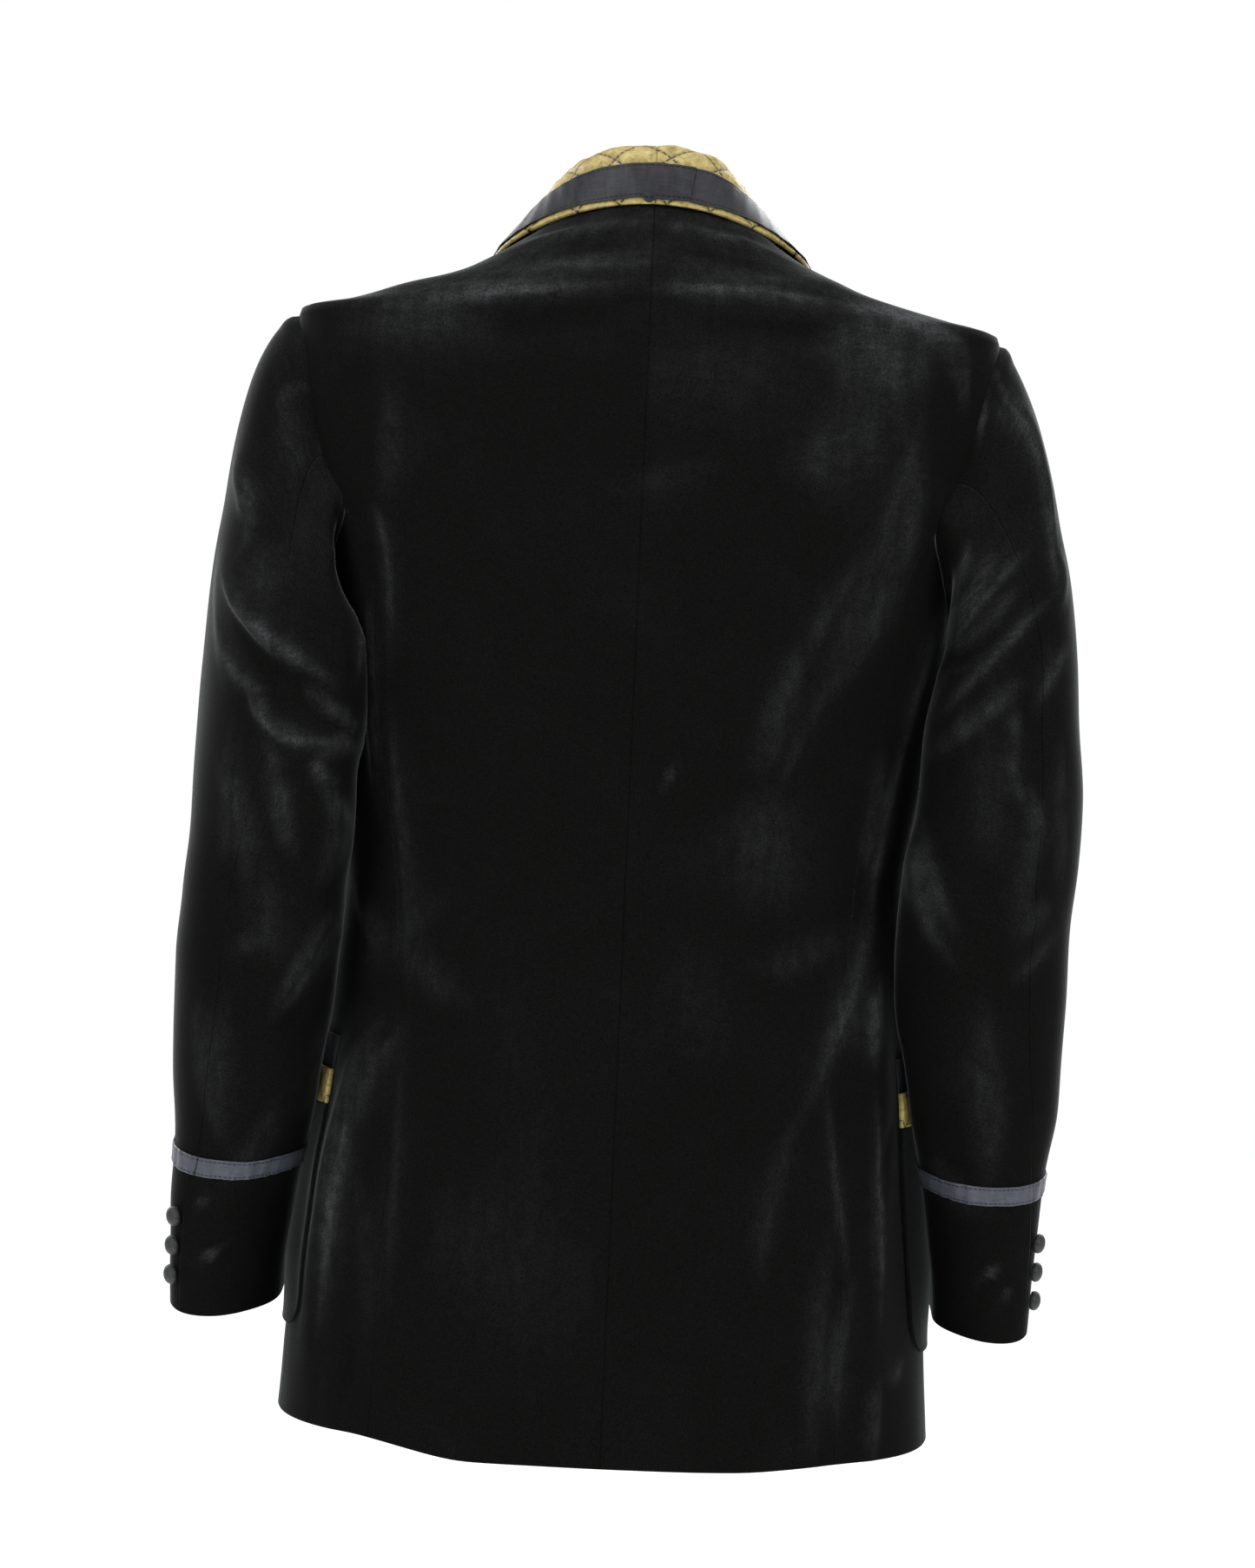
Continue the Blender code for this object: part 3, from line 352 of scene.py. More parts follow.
def fold_rise(folds, x, z):
    """Sum of the folds at a place seen from outside. Each fades at its two ends."""
    total = np.zeros(np.shape(x))
    along = np.linspace(0, 1, 11)
    for fold in folds:
        middle_x = 2 * fold.across_2 - (fold.across_1 + fold.across_3) / 2
        middle_z = 2 * fold.height_2 - (fold.height_1 + fold.height_3) / 2
        blend = np.stack([(1 - along) ** 2, 2 * along * (1 - along), along ** 2])
        line_x = np.array([fold.across_1, middle_x, fold.across_3]) @ blend
        line_z = np.array([fold.height_1, middle_z, fold.height_3]) @ blend
        nearest = np.full(np.shape(x), 1e9)
        reach = np.zeros(np.shape(x))
        above = np.zeros(np.shape(x))
        for i in range(len(along) - 1):
            run_x, run_z = line_x[i + 1] - line_x[i], line_z[i + 1] - line_z[i]
            part = ((x - line_x[i]) * run_x + (z - line_z[i]) * run_z) / (run_x ** 2 + run_z ** 2)
            part = np.clip(part, 0, 1)
            away = np.hypot(x - line_x[i] - part * run_x, z - line_z[i] - part * run_z)
            beside = run_x * (z - line_z[i]) - run_z * (x - line_x[i])
            reach = np.where(away < nearest, along[i] + part * along[1], reach)
            above = np.where(away < nearest, np.sign(beside), above)
            nearest = np.minimum(away, nearest)
        fade = smooth(reach, 0, 0.4) * smooth(1 - reach, 0, 0.4)
        width = fold.width * (0.6 + 0.4 * fade) * (1 - 0.25 * above)
        total += fold.rise * fade * np.exp(-((nearest / width) ** 2))
    return total


def painted_sheen_and_nap_lines(folds, x, z):
    """How much painted sheen lies beside those lines: a clear core that fades into a wide soft edge."""
    wide = [fold._replace(width=2.6 * fold.width) for fold in folds]
    return 0.72 * fold_rise(folds, x, z) + 0.28 * fold_rise(wide, x, z)


def drift(x, z):
    """Slow unevenness of velvet that has been worn and hung."""
    broad = np.sin(x / 23 + 1.9 * np.sin(z / 61)) * np.sin(z / 37 + 1.3 * np.sin(x / 47))
    return 0.7 * broad + 0.3 * np.sin(x / 11 - z / 29 + 1.1 * np.sin(z / 19))


def over_both_sides(lists, side, x, z):
    """Sum of the folds of one side, passing softly into the other side's at the centre line."""
    share = smooth(x, -40, 40)
    return share * fold_rise(lists[side], x, z) + (1 - share) * fold_rise(lists[-side], -x, z)


def body_rise(side, base, turn):
    """How far the folds lift that place of the body, behind and in front."""
    sine = np.sin(np.radians(turn))
    x, z = base[..., 0], base[..., 2]
    rise = smooth(sine, 0.0, 0.25) * over_both_sides(BACK_FOLDS, side, x, z)
    rise = rise + smooth(-sine, 0.1, 0.4) * over_both_sides(FRONT_FOLDS, side, x, z)
    return rise + drift(side * x, z)


def body_out(side, place, turn, out):
    """A point that far out of the folded body, on either side of it."""
    base = body(place, turn)
    outward = body_normal(place, turn)
    sine = np.sin(np.radians(turn))
    rise = body_rise(side, base, turn)
    if side > 0:
        lap = (sine < 0) * (1 - smooth(base[..., 0], 30, 80)) * (1 - smooth(place, 0.55, 0.66))
        rise = rise + (VELVET + 2 * LYING) * lap
    points = base + outward * (rise + out)[..., None]
    skirt = (1 - smooth(np.asarray(place), 0.0, 0.12)) * smooth(base[..., 0], 80, 160)
    points[..., 2] += HEM_LIFT[side] * skirt
    return points * (side, 1, 1)


def armhole_curve():
    """Closely spaced heights and turns round the armhole, on a smooth closed curve."""
    rows = np.array(ARMHOLE, float)
    steps = np.linspace(0, 1, 12, endpoint=False)[:, None]
    curve = []
    for i in range(len(rows)):
        a, b, c, d = (rows[(i + k) % len(rows)] for k in (-1, 0, 1, 2))
        curve.append(0.5 * (
            2 * b + (c - a) * steps + (2 * a - 5 * b + 4 * c - d) * steps ** 2
            + (3 * b - a - 3 * c + d) * steps ** 3
        ))
    return np.vstack(curve)


LOOP = armhole_curve()
LOOP_BACK = LOOP[: 4 * 12 + 1][::-1]
LOOP_LOW = LOOP[4 * 12: 9 * 12 + 1][::-1]
LOOP_FRONT = LOOP[9 * 12:]


def back_side_turn(place):
    """Turn of the back's side edge: seam, then armhole, then shoulder seam."""
    height = read(BODY, place).height
    seam = turn_at(place, read(SIDE_BACK, height).across)
    hole = np.interp(height, LOOP_BACK[:, 0], LOOP_BACK[:, 1])
    turn = np.where(height < LOOP_BACK[0, 0], seam, hole)
    return np.where(place >= 1, 0.0, turn)


def front_side_turn(place):
    """Turn of the front's side edge: seam, then armhole, then shoulder seam."""
    height = read(BODY, place).height
    seam = read(SIDE_FRONT, height).turn
    hole = np.interp(height, LOOP_FRONT[:, 0], LOOP_FRONT[:, 1])
    turn = np.where(height < LOOP_FRONT[0, 0], seam, hole)
    return np.where(place >= 1, 0.0, turn)


def centre_back(place):
    return np.full(np.shape(place), 90.0)


def turn_for(place, turn, distance):
    """How far to turn to move that distance along the ring."""
    ahead = np.linalg.norm(body(place, turn + 0.5) - body(place, turn - 0.5), axis=-1)
    return distance / ahead


def side_top(across):
    """Place where each line up the side panel meets the armhole."""
    height = np.full(np.shape(across), -215.0)
    for _ in range(12):
        place = place_at(height)
        first, second = front_side_turn(place), turn_at(place, read(SIDE_BACK, height).across)
        turn = first + (second - first) * across
        height = 0.4 * height + 0.6 * np.interp(turn, LOOP_LOW[:, 1], LOOP_LOW[:, 0])
    return place_at(height - SEAM)


def close_at_ends(count, length):
    """Shares along a side that lie close together at both ends, where the edge is rounded."""
    near = [0, 0.35, 0.9, 1.8]
    middle = list(np.linspace(near[-1], length - near[-1], count))[1:-1]
    return np.array(near + middle + [length - step for step in near[::-1]]) / length


def rounded(distance, radius):
    """How far a rounded edge falls off at that distance from it."""
    short = np.clip(radius - distance, 0, radius)
    return radius - np.sqrt(radius * radius - short * short)


def cloth_wall(name, columns_at, rows_at, surface, thickness, cloth, width, length,
               backing=None, chart=None, painted_sheen_and_nap=None):
    """A closed wall of cloth with rounded edges. surface takes shares across and up and how
    far out to be, chart gives the UV map in millimetres, and painted_sheen_and_nap how much painted
    highlight and lighter nap the velvet gets."""
    grid = bmesh.new()
    bmesh.ops.create_grid(grid, x_segments=len(columns_at) - 1, y_segments=len(rows_at) - 1,
                          size=0.5)
    bmesh.ops.solidify(grid, geom=grid.faces[:], thickness=0.1)
    mesh = bpy.data.meshes.new(name)
    grid.to_mesh(mesh)
    grid.free()
    places = np.empty(len(mesh.vertices) * 3)
    mesh.vertices.foreach_get("co", places)
    places = places.reshape(-1, 3)
    across = np.interp(places[:, 0] + 0.5, np.linspace(0, 1, len(columns_at)), columns_at)
    up = np.interp(places[:, 1] + 0.5, np.linspace(0, 1, len(rows_at)), rows_at)
    inner = places[:, 2] < -0.05
    corners = np.empty(len(mesh.loops), int)
    mesh.loops.foreach_get("vertex_index", corners)
    if backing is not None:
        mesh.materials.append(cloth)
        mesh.materials.append(backing)
        counts = np.empty(len(mesh.polygons), int)
        mesh.polygons.foreach_get("loop_start", counts)
        mesh.polygons.foreach_set("material_index", np.minimum.reduceat(inner[corners], counts) * 1)
    else:
        mesh.materials.append(cloth)
    radius = 0.3 * thickness
    drop = rounded(np.minimum(np.minimum(across, 1 - across) * width,
                              np.minimum(up, 1 - up) * length), radius)
    out = np.where(inner, drop - thickness, -drop)
    points = surface(across, up, out) * MM
    mesh.vertices.foreach_set("co", points.ravel())
    map_across, map_up = chart(across, up) if chart else (across * width, up * length)
    cloth_map = mesh.uv_layers.new(name="cloth")
    cloth_map.data.foreach_set("uv", (np.stack([map_across, map_up], axis=-1)[corners] * MM).ravel())
    if painted_sheen_and_nap is not None:
        light = mesh.attributes.new("painted_sheen_and_nap", "FLOAT", "POINT")
        light.data.foreach_set("value", painted_sheen_and_nap(across, up))
    shell = bmesh.new()
    shell.from_mesh(mesh)
    if shell.calc_volume(signed=True) < 0:
        bmesh.ops.reverse_faces(shell, faces=shell.faces[:])
        shell.to_mesh(mesh)
    shell.free()
    mesh.shade_smooth()
    piece = bpy.data.objects.new(name, mesh)
    bpy.context.scene.collection.objects.link(piece)
    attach(piece, "root")
    return piece


def add_node(tree, kind, inputs=None, **settings):
    """A shader node with its settings, and its inputs set or linked."""
    made = tree.nodes.new(kind)
    for setting, value in settings.items():
        setattr(made, setting, value)
    for socket, value in (inputs or {}).items():
        if isinstance(value, bpy.types.NodeSocket):
            tree.links.new(value, made.inputs[socket])
        else:
            made.inputs[socket].default_value = value
    return made


def new_material(name, **uniform):
    """A material whose even properties are set straight on its shader."""
    made = bpy.data.materials.new(name)
    made.use_nodes = True
    shader = made.node_tree.nodes["Principled BSDF"]
    for socket, value in uniform.items():
        shader.inputs[socket.replace("_", " ")].default_value = value
    return made, made.node_tree, shader


def new_group(name, given, results):
    """An empty node group for numbers, with the nodes for what goes in and what comes out."""
    group = bpy.data.node_groups.new(name, "ShaderNodeTree")
    for in_out, words in (("INPUT", given), ("OUTPUT", results)):
        for word in words:
            group.interface.new_socket(word, in_out=in_out, socket_type="NodeSocketFloat")
    return group, group.nodes.new("NodeGroupInput"), group.nodes.new("NodeGroupOutput")


def calculate(tree, operation, *values, **settings):
    """What one step of arithmetic gives."""
    return add_node(tree, "ShaderNodeMath", dict(enumerate(values)), operation=operation,
                    **settings).outputs[0]


def noise(tree, vector, scale, **further):
    """Noise of that scale over the places."""
    return add_node(tree, "ShaderNodeTexNoise", {
        "Vector": vector, "Scale": scale, **further,
    }).outputs["Fac"]


def mapped(tree, value, low, high, to_low=0.0, to_high=1.0, **settings):
    """The value carried from one range to another, and held inside it."""
    return add_node(tree, "ShaderNodeMapRange", {
        "Value": value, "From Min": low, "From Max": high, "To Min": to_low, "To Max": to_high,
    }, **settings).outputs["Result"]


def mixed(tree, share, first, second):
    """The first colour with that share of the second one."""
    return add_node(tree, "ShaderNodeMix", {"Factor": share, "A": first, "B": second},
                    data_type="RGBA").outputs["Result"]


def stretched(tree, vector, scale):
    """The places with each direction scaled."""
    return add_node(tree, "ShaderNodeMapping", {"Vector": vector, "Scale": scale}).outputs[0]


def set_surface(tree, shader, colour, height, strength, distance):
    """Gives a shader its colour and its fine relief."""
    tree.links.new(colour, shader.inputs["Base Color"])
    bump = add_node(tree, "ShaderNodeBump", {
        "Strength": strength, "Distance": distance, "Height": height,
    })
    tree.links.new(bump.outputs[0], shader.inputs["Normal"])


def pile_group():
    """Velvet's pile: broad clouds of uneven nap, fine streaks down the nap, and the fibres' height."""
    group, given, result = new_group("velvet pile", ("Cloud Size", "Fibre Size"),
                                     ("Clouds", "Streaks", "Fibres"))
    place = add_node(group, "ShaderNodeTexCoord").outputs["Object"]
    cloud_scale = calculate(group, "DIVIDE", 1.0, given.outputs["Cloud Size"])
    fibre_scale = calculate(group, "DIVIDE", 1.0, given.outputs["Fibre Size"])
    clouds = noise(group, place, cloud_scale, Detail=4.0, Roughness=0.55, Distortion=0.9)
    clouds = mapped(group, clouds, 0.44, 0.74, interpolation_type="SMOOTHSTEP")
    streaks = noise(group, stretched(group, place, (1, 1, 0.16)), 95.0, Detail=5.0, Roughness=0.6)
    fibres = noise(group, place, fibre_scale, Detail=2.0, Roughness=0.7)
    for name, socket in (("Clouds", clouds), ("Streaks", streaks), ("Fibres", fibres)):
        group.links.new(socket, result.inputs[name])
    return group


VELVET_PILE = pile_group()


def velvet_material():
    """Near-black cotton velvet with a grey-blue sheen where it is seen aslant, and painted grey-blue
    highlights along its creases and on its upward slopes, with a few lighter spots of nap.
    """
    made, tree, shader = new_material(
        "black cotton velvet", Roughness=0.92, Specular_IOR_Level=0.04, Sheen_Weight=0.20,
        Sheen_Roughness=0.20, Sheen_Tint=(0.80, 0.84, 0.86, 1),
    )
    pile = add_node(tree, "ShaderNodeGroup", node_tree=VELVET_PILE)
    pile.inputs["Cloud Size"].default_value = 0.075
    pile.inputs["Fibre Size"].default_value = 0.0011
    # The painted light: the painted sheen and lighter nap spots of the mesh, faint random clouds of uneven
    # nap, and a painted highlight on slopes that face up, broken by streaks and mottling.
    painted_sheen_and_nap = add_node(tree, "ShaderNodeAttribute", attribute_name="painted_sheen_and_nap").outputs["Fac"]
    clouds = calculate(tree, "MULTIPLY", pile.outputs["Clouds"], 0.014)
    facing = add_node(tree, "ShaderNodeNewGeometry").outputs["Normal"]
    facing_up = add_node(tree, "ShaderNodeSeparateXYZ", {0: facing}).outputs["Z"]
    # Painted top light: the velvet is painted lighter where its surface faces up.
    painted_top_light = mapped(tree, facing_up, 0.10, 0.95, 0.0, 0.14, interpolation_type="SMOOTHSTEP")
    light = calculate(tree, "ADD", calculate(tree, "ADD", painted_sheen_and_nap, clouds), painted_top_light)
    streaks = mapped(tree, pile.outputs["Streaks"], 0.3, 0.7, 0.55, 1.45)
    light = calculate(tree, "MULTIPLY", light, streaks, use_clamp=True)
    cloth_map = add_node(tree, "ShaderNodeUVMap", uv_map="cloth").outputs[0]
    mottle = noise(tree, cloth_map, 95.0, Detail=5.0, Roughness=0.65)
    light = calculate(tree, "MULTIPLY", light, mapped(tree, mottle, 0.32, 0.68, 0.45, 1.30))
    # Mixed from near-black towards the painted grey-blue highlight colour.
    colour = mixed(tree, light, (0.0019, 0.0021, 0.0018, 1), (0.046, 0.047, 0.049, 1))
    speck = mapped(tree, pile.outputs["Fibres"], 0.3, 0.7, 0.45, 1.6)
    colour = add_node(tree, "ShaderNodeVectorMath", {0: colour, 1: speck},
                      operation="MULTIPLY").outputs[0]
    set_surface(tree, shader, colour, pile.outputs["Fibres"], 0.35, 0.0006)
    return made


def velvet_back_material():
    """The plain woven back of the velvet, which shows inside the jacket."""
    made, tree, shader = new_material("velvet back", Roughness=0.95, Specular_IOR_Level=0.1)
    cloth_map = add_node(tree, "ShaderNodeUVMap", uv_map="cloth").outputs[0]
    weave = add_node(tree, "ShaderNodeTexChecker", {
        "Vector": cloth_map, "Scale": 1600.0, "Color1": (0.010, 0.010, 0.011, 1),
        "Color2": (0.017, 0.017, 0.018, 1),
    })
    set_surface(tree, shader, weave.outputs["Color"], weave.outputs["Fac"], 0.3, 0.0003)
    return made


VELVET_CLOTH = velvet_material()
VELVET_BACK = velvet_back_material()
WORDS = {1: "left", -1: "right"}
SKIRT_ROWS = list(np.linspace(0, 0.004, 4)) + list(np.linspace(0.004, UNDERARM_PLACE, 150))[1:]


def rows_to_neck(seam_top, seam_rows=18, armhole_rows=64, shoulder_rows=36):
    """Places of a panel's rows from the hem to the neck."""
    seam = list(np.linspace(UNDERARM_PLACE, seam_top, seam_rows))[1:]
    armhole = list(np.linspace(seam_top, 1, armhole_rows))[1:]
    shoulder = list(np.linspace(1, 2, shoulder_rows))[1:]
    return np.array(SKIRT_ROWS + seam + armhole + shoulder)


BACK_CRESTS = crests(BACK_FOLDS, FINE_FOLD)
FRONT_CRESTS = crests(FRONT_FOLDS, FINE_FOLD)
# How much painted highlight lies along every fine crest, behind and in front.
BACK_CREST_LIGHT = 0.05
FRONT_CREST_LIGHT = 0.10


def body_painted_sheen_and_nap(side, place, turn):
    """How much painted highlight the nap gets: painted sheen along the listed lines, which also hold a few
    lighter spots of nap, and a little more painted highlight along every crest.
    """
    base = body(place, turn)
    sine = np.sin(np.radians(turn))
    back = smooth(sine, 0.0, 0.25)
    front = smooth(-sine, 0.1, 0.4)
    x, z = base[..., 0], base[..., 2]
    share = smooth(x, -6, 6)
    light = share * painted_sheen_and_nap_lines(BACK_PAINTED_SHEEN_AND_NAP[side], x, z)
    light = back * (light + (1 - share) * painted_sheen_and_nap_lines(BACK_PAINTED_SHEEN_AND_NAP[-side], -x, z))
    light += BACK_CREST_LIGHT * back * over_both_sides(BACK_CRESTS, side, x, z)
    light += FRONT_CREST_LIGHT * front * over_both_sides(FRONT_CRESTS, side, x, z)
    return np.clip(light, 0, 1)


def body_panel(name, side, columns, places, first_turn, second_turn, width, length):
    """A velvet panel between two seams, on level rows from the hem up."""
    def at(across, up):
        place = np.interp(up, np.linspace(0, 1, len(places)), places)
        first, second = first_turn(place), second_turn(place)
        first = first + turn_for(place, first, SEAM / 2)
        second = second - turn_for(place, second, SEAM / 2)
        return place, first + (second - first) * across

    def surface(across, up, out):
        return body_out(side, *at(across, up), out)

    def painted_sheen_and_nap(across, up):
        return body_painted_sheen_and_nap(side, *at(across, up))

    return cloth_wall(name, close_at_ends(columns, width), np.linspace(0, 1, len(places)), surface,
                      VELVET, VELVET_CLOTH, width, length, backing=VELVET_BACK, painted_sheen_and_nap=painted_sheen_and_nap)


for side, word in WORDS.items():
    places = rows_to_neck(side_top(np.array([1.0]))[0])
    panel = body_panel("back_panel_" + word, side, 62, places, back_side_turn, centre_back,
                       width=205, length=800)
    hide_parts("back_" + word)

# The side panels: a narrow piece under each arm, cut away at the top for the armhole, which
# gives the jacket its waist. Its back seam shows behind each sleeve.


SIDE_WIDTH = 105.0
SIDE_LENGTH = 560.0


def side_back(place):
    return turn_at(place, read(SIDE_BACK, read(BODY, place).height).across)


for side, word in WORDS.items():
    seam_rows = 20
    rows = len(SKIRT_ROWS) - 1 + seam_rows

    def side_place(across, up, rows=rows, seam_rows=seam_rows):
        """Level rows up to the armhole's foot, and then rows that end along the armhole."""
        row = up * rows
        level = np.interp(row, range(len(SKIRT_ROWS)), SKIRT_ROWS)
        high = UNDERARM_PLACE + (side_top(across) - UNDERARM_PLACE) * (row - len(SKIRT_ROWS) + 1) / seam_rows
        return np.where(row < len(SKIRT_ROWS), level, high)

    def side_at(across, up):
        place = side_place(across, up)
        first, second = front_side_turn(place), side_back(place)
        first = first + turn_for(place, first, SEAM / 2)
        second = second - turn_for(place, second, SEAM / 2)
        return place, first + (second - first) * across

    def side_surface(across, up, out, side=side):
        return body_out(side, *side_at(across, up), out)

    def side_painted_sheen_and_nap(across, up, side=side):
        return body_painted_sheen_and_nap(side, *side_at(across, up))

    panel = cloth_wall("side_panel_" + word, close_at_ends(34, SIDE_WIDTH),
                       np.linspace(0, 1, rows + 1), side_surface, VELVET, VELVET_CLOTH, SIDE_WIDTH,
                       SIDE_LENGTH, backing=VELVET_BACK, painted_sheen_and_nap=side_painted_sheen_and_nap)
    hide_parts("side_" + word)

# The fronts: each wraps past the centre below the one button, the left over the right, with a
# rounded corner at the hem, and ends above it where the collar is sewn to it.
COLLAR_WRAP = 6.0
Edge = namedtuple("Edge", "place across")
FRONT_EDGE = (
    Edge(0.000, 46), Edge(0.020, 12), Edge(0.050, -8), Edge(0.090, -16), Edge(0.140, -18),
    Edge(0.495, -18), Edge(0.518, -12), Edge(0.545, 8), Edge(0.600, 16), Edge(0.680, 26),
    Edge(0.760, 36), Edge(0.870, 48.5), Edge(1.000, 59), Edge(1.410, 61), Edge(1.680, 62),
    Edge(2.000, 62),
)


def front_edge_turn(place):
    return -turn_at(place, read(FRONT_EDGE, place).across)


def panel_edge_turn(place):
    """The front's own edge, which ends short of the fold where the collar covers it."""
    hidden = COLLAR_WRAP * smooth(place, 0.53, 0.57)
    return -turn_at(place, read(FRONT_EDGE, place).across + hidden)


for side, word in WORDS.items():
    places = rows_to_neck(side_top(np.array([0.0]))[0])
    panel = body_panel("front_panel_" + word, side, 66, places, panel_edge_turn, front_side_turn,
                       width=250, length=800)
    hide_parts("front_" + word)

# The sleeves: each is a top piece and a narrower under piece of velvet, joined along the hind
# and the fore arm and set into the armhole. They hang a little forward at the cuff, with the
# cloth broken into drag lines below the armhole and behind the elbow.
ARMHOLE_ROOM = -1.0
ARMHOLE_TUCK = 1.7
HEAD_PUFF = 2.4
HEAD_RISE = {1: 2.6, -1: 1.0}
HEAD_SPREAD = {1: 0.24, -1: 0.14}
SLEEVE_ROOM = 0.8
SLEEVE_ROOM_AT_POCKET = 4.5
ARM_SQUARE = 2.1
ARM_RADIUS = 45.0
SLEEVE_LENGTH = 640.0
FORE_SEAM_TURN = 235.0
Arm = namedtuple("Arm", "below outer inner back front toe tilt")
SLEEVES = {
    1: (
        Arm(262, 276, 172, 97, -62, -21, 0.00),
        Arm(300, 278, 172, 94, -60, -22, 0.00),
        Arm(340, 280, 176, 86, -57, -16, 0.00),
        Arm(380, 282, 178, 78, -57, -10, 0.02),
        Arm(420, 286, 180, 72, -60, -6, 0.05),
        Arm(460, 289, 183, 65, -64, -6, 0.08),
        Arm(500, 289, 186, 56, -70, -5, 0.11),
        Arm(540, 288, 191, 46, -76, -2, 0.14),
        Arm(580, 286, 198, 34, -82, 3, 0.16),
        Arm(620, 285, 206, 24, -87, 10, 0.17),
        Arm(686, 283, 214, 10, -96, 11, 0.17),
    ),
    -1: (
        Arm(262, 286, 192, 84, -64, -2, 0.00),
        Arm(300, 289, 186, 83, -62, -2, 0.00),
        Arm(340, 292, 185, 80, -58, -4, 0.00),
        Arm(380, 291, 181, 76, -57, -5, 0.02),
        Arm(420, 289, 176, 70, -60, -5, 0.05),
        Arm(460, 289, 175, 62, -64, -5, 0.08),
        Arm(500, 288, 179, 53, -70, -4, 0.11),
        Arm(540, 287, 186, 43, -76, -1, 0.14),
        Arm(580, 281, 197, 32, -82, 4, 0.16),
        Arm(620, 276, 202, 22, -87, 9, 0.17),
        Arm(682, 273, 211, 8, -95, 10, 0.17),
    ),
}
SleeveSeam = namedtuple("SleeveSeam", "place left right")
HIND_SEAM = (SleeveSeam(0.0, 78, 78), SleeveSeam(1.0, 72, 68), SleeveSeam(2.0, 58, 45))
SLEEVE_FOLDS = {
    1: (
        Fold(268, -190, 232, -255, 166, -290, 15, 8.0),
        Fold(240, -275, 212, -318, 160, -322, 14, 6.0),
        Fold(204, -330, 190, -375, 194, -430, 14, 4.0),
        Fold(178, -415, 204, -460, 228, -520, 15, 4.0),
        Fold(262, -120, 250, -165, 236, -205, 14, 3.0),
        Fold(265, -198, 232, -256, 172, -287, 4.5, 2.6),
        Fold(262, -216, 228, -272, 178, -300, 6, -2.4),
        Fold(208, -283, 188, -302, 164, -317, 4.5, 2.8),
        Fold(166, -319, 185, -323, 204, -338, 5, 2.4),
        Fold(238, -276, 226, -310, 184, -322, 4.5, 2.8),
        Fold(196, -306, 182, -312, 170, -322, 5, -2.2),
        Fold(202, -336, 187, -372, 198, -426, 4.5, 2.4),
        Fold(214, -342, 200, -376, 210, -420, 6, -1.7),
        Fold(227, -336, 216, -378, 203, -398, 6, 1.9),
        Fold(181, -422, 205, -460, 222, -506, 4.5, 2.3),
        Fold(178, -444, 200, -484, 220, -524, 6, -1.6),
        Fold(260, -136, 251, -168, 241, -194, 6, 2.0),
        Fold(268, -198, 265, -242, 254, -304, 6, 1.6),
        Fold(206, -100, 224, -99, 234, -118, 4.5, 1.7),
        Fold(197, -122, 201, -132, 204, -146, 4, 1.5),
        Fold(197, -196, 181, -220, 177, -250, 4.5, 2.1),
        Fold(262, -330, 244, -372, 236, -430, 8, 1.6),
        Fold(250, -470, 256, -530, 250, -590, 9, 1.5),
        Fold(210, -540, 228, -580, 252, -610, 8, 1.2),
    ),
    -1: (
        Fold(226, -50, 248, -120, 266, -200, 14, 3.5),
        Fold(226, -180, 212, -212, 194, -250, 14, 4.0),
        Fold(252, -250, 222, -290, 180, -330, 15, 6.0),
        Fold(184, -340, 198, -415, 218, -460, 15, 5.0),
        Fold(232, -440, 250, -420, 268, -385, 14, 3.0),
        Fold(217, -86, 229, -100, 237, -118, 4.5, 1.6),
        Fold(226, -56, 249, -122, 265, -194, 5, 2.0),
        Fold(262, -176, 268, -200, 260, -228, 4.5, 1.6),
        Fold(205, -176, 204, -200, 201, -224, 4.5, 1.6),
        Fold(223, -186, 212, -212, 200, -244, 4.5, 2.3),
        Fold(243, -202, 220, -230, 196, -253, 5, 2.4),
        Fold(230, -224, 212, -246, 194, -266, 6, -1.8),
        Fold(248, -262, 221, -288, 184, -323, 5, 2.6),
        Fold(240, -284, 214, -306, 188, -338, 6, -2.0),
        Fold(238, -278, 239, -295, 240, -314, 5, 1.6),
        Fold(249, -326, 254, -345, 260, -364, 5, 1.6),
        Fold(185, -350, 190, -402, 215, -452, 5, 2.8),
        Fold(194, -356, 202, -400, 226, -440, 6, -1.9),
        Fold(238, -432, 257, -411, 262, -396, 5, 1.8),
        Fold(262, -330, 252, -380, 250, -440, 8, 1.5),
        Fold(226, -480, 240, -540, 236, -600, 9, 1.5),
        Fold(200, -560, 220, -590, 250, -604, 8, 1.2),
    ),
}
SLEEVE_FRONT_FOLDS = {
    1: (
        Fold(266, -292, 232, -318, 192, -312, 10, 3.4),
        Fold(270, -330, 240, -352, 200, -344, 9, 3.2),
        Fold(262, -366, 236, -380, 204, -370, 8, 2.4),
        Fold(270, -398, 250, -420, 216, -418, 9, 1.9),
        Fold(262, -140, 252, -196, 250, -262, 12, 2.4),
        Fold(226, -96, 216, -150, 204, -204, 8, 1.8),
        Fold(242, -216, 224, -250, 200, -270, 7, 2.0),
        Fold(230, -470, 246, -530, 250, -600, 10, 1.6),
    ),
    -1: (
        Fold(268, -284, 236, -306, 198, -302, 10, 3.2),
        Fold(272, -320, 240, -346, 202, -336, 9, 3.4),
        Fold(258, -360, 232, -372, 204, -364, 8, 2.2),
        Fold(272, -388, 248, -412, 210, -410, 9, 2.0),
        Fold(260, -132, 254, -190, 256, -258, 12, 2.2),
        Fold(228, -90, 218, -146, 206, -196, 8, 1.9),
        Fold(246, -210, 228, -240, 204, -264, 7, 1.8),
        Fold(222, -480, 236, -536, 244, -598, 10, 1.5),
    ),
}
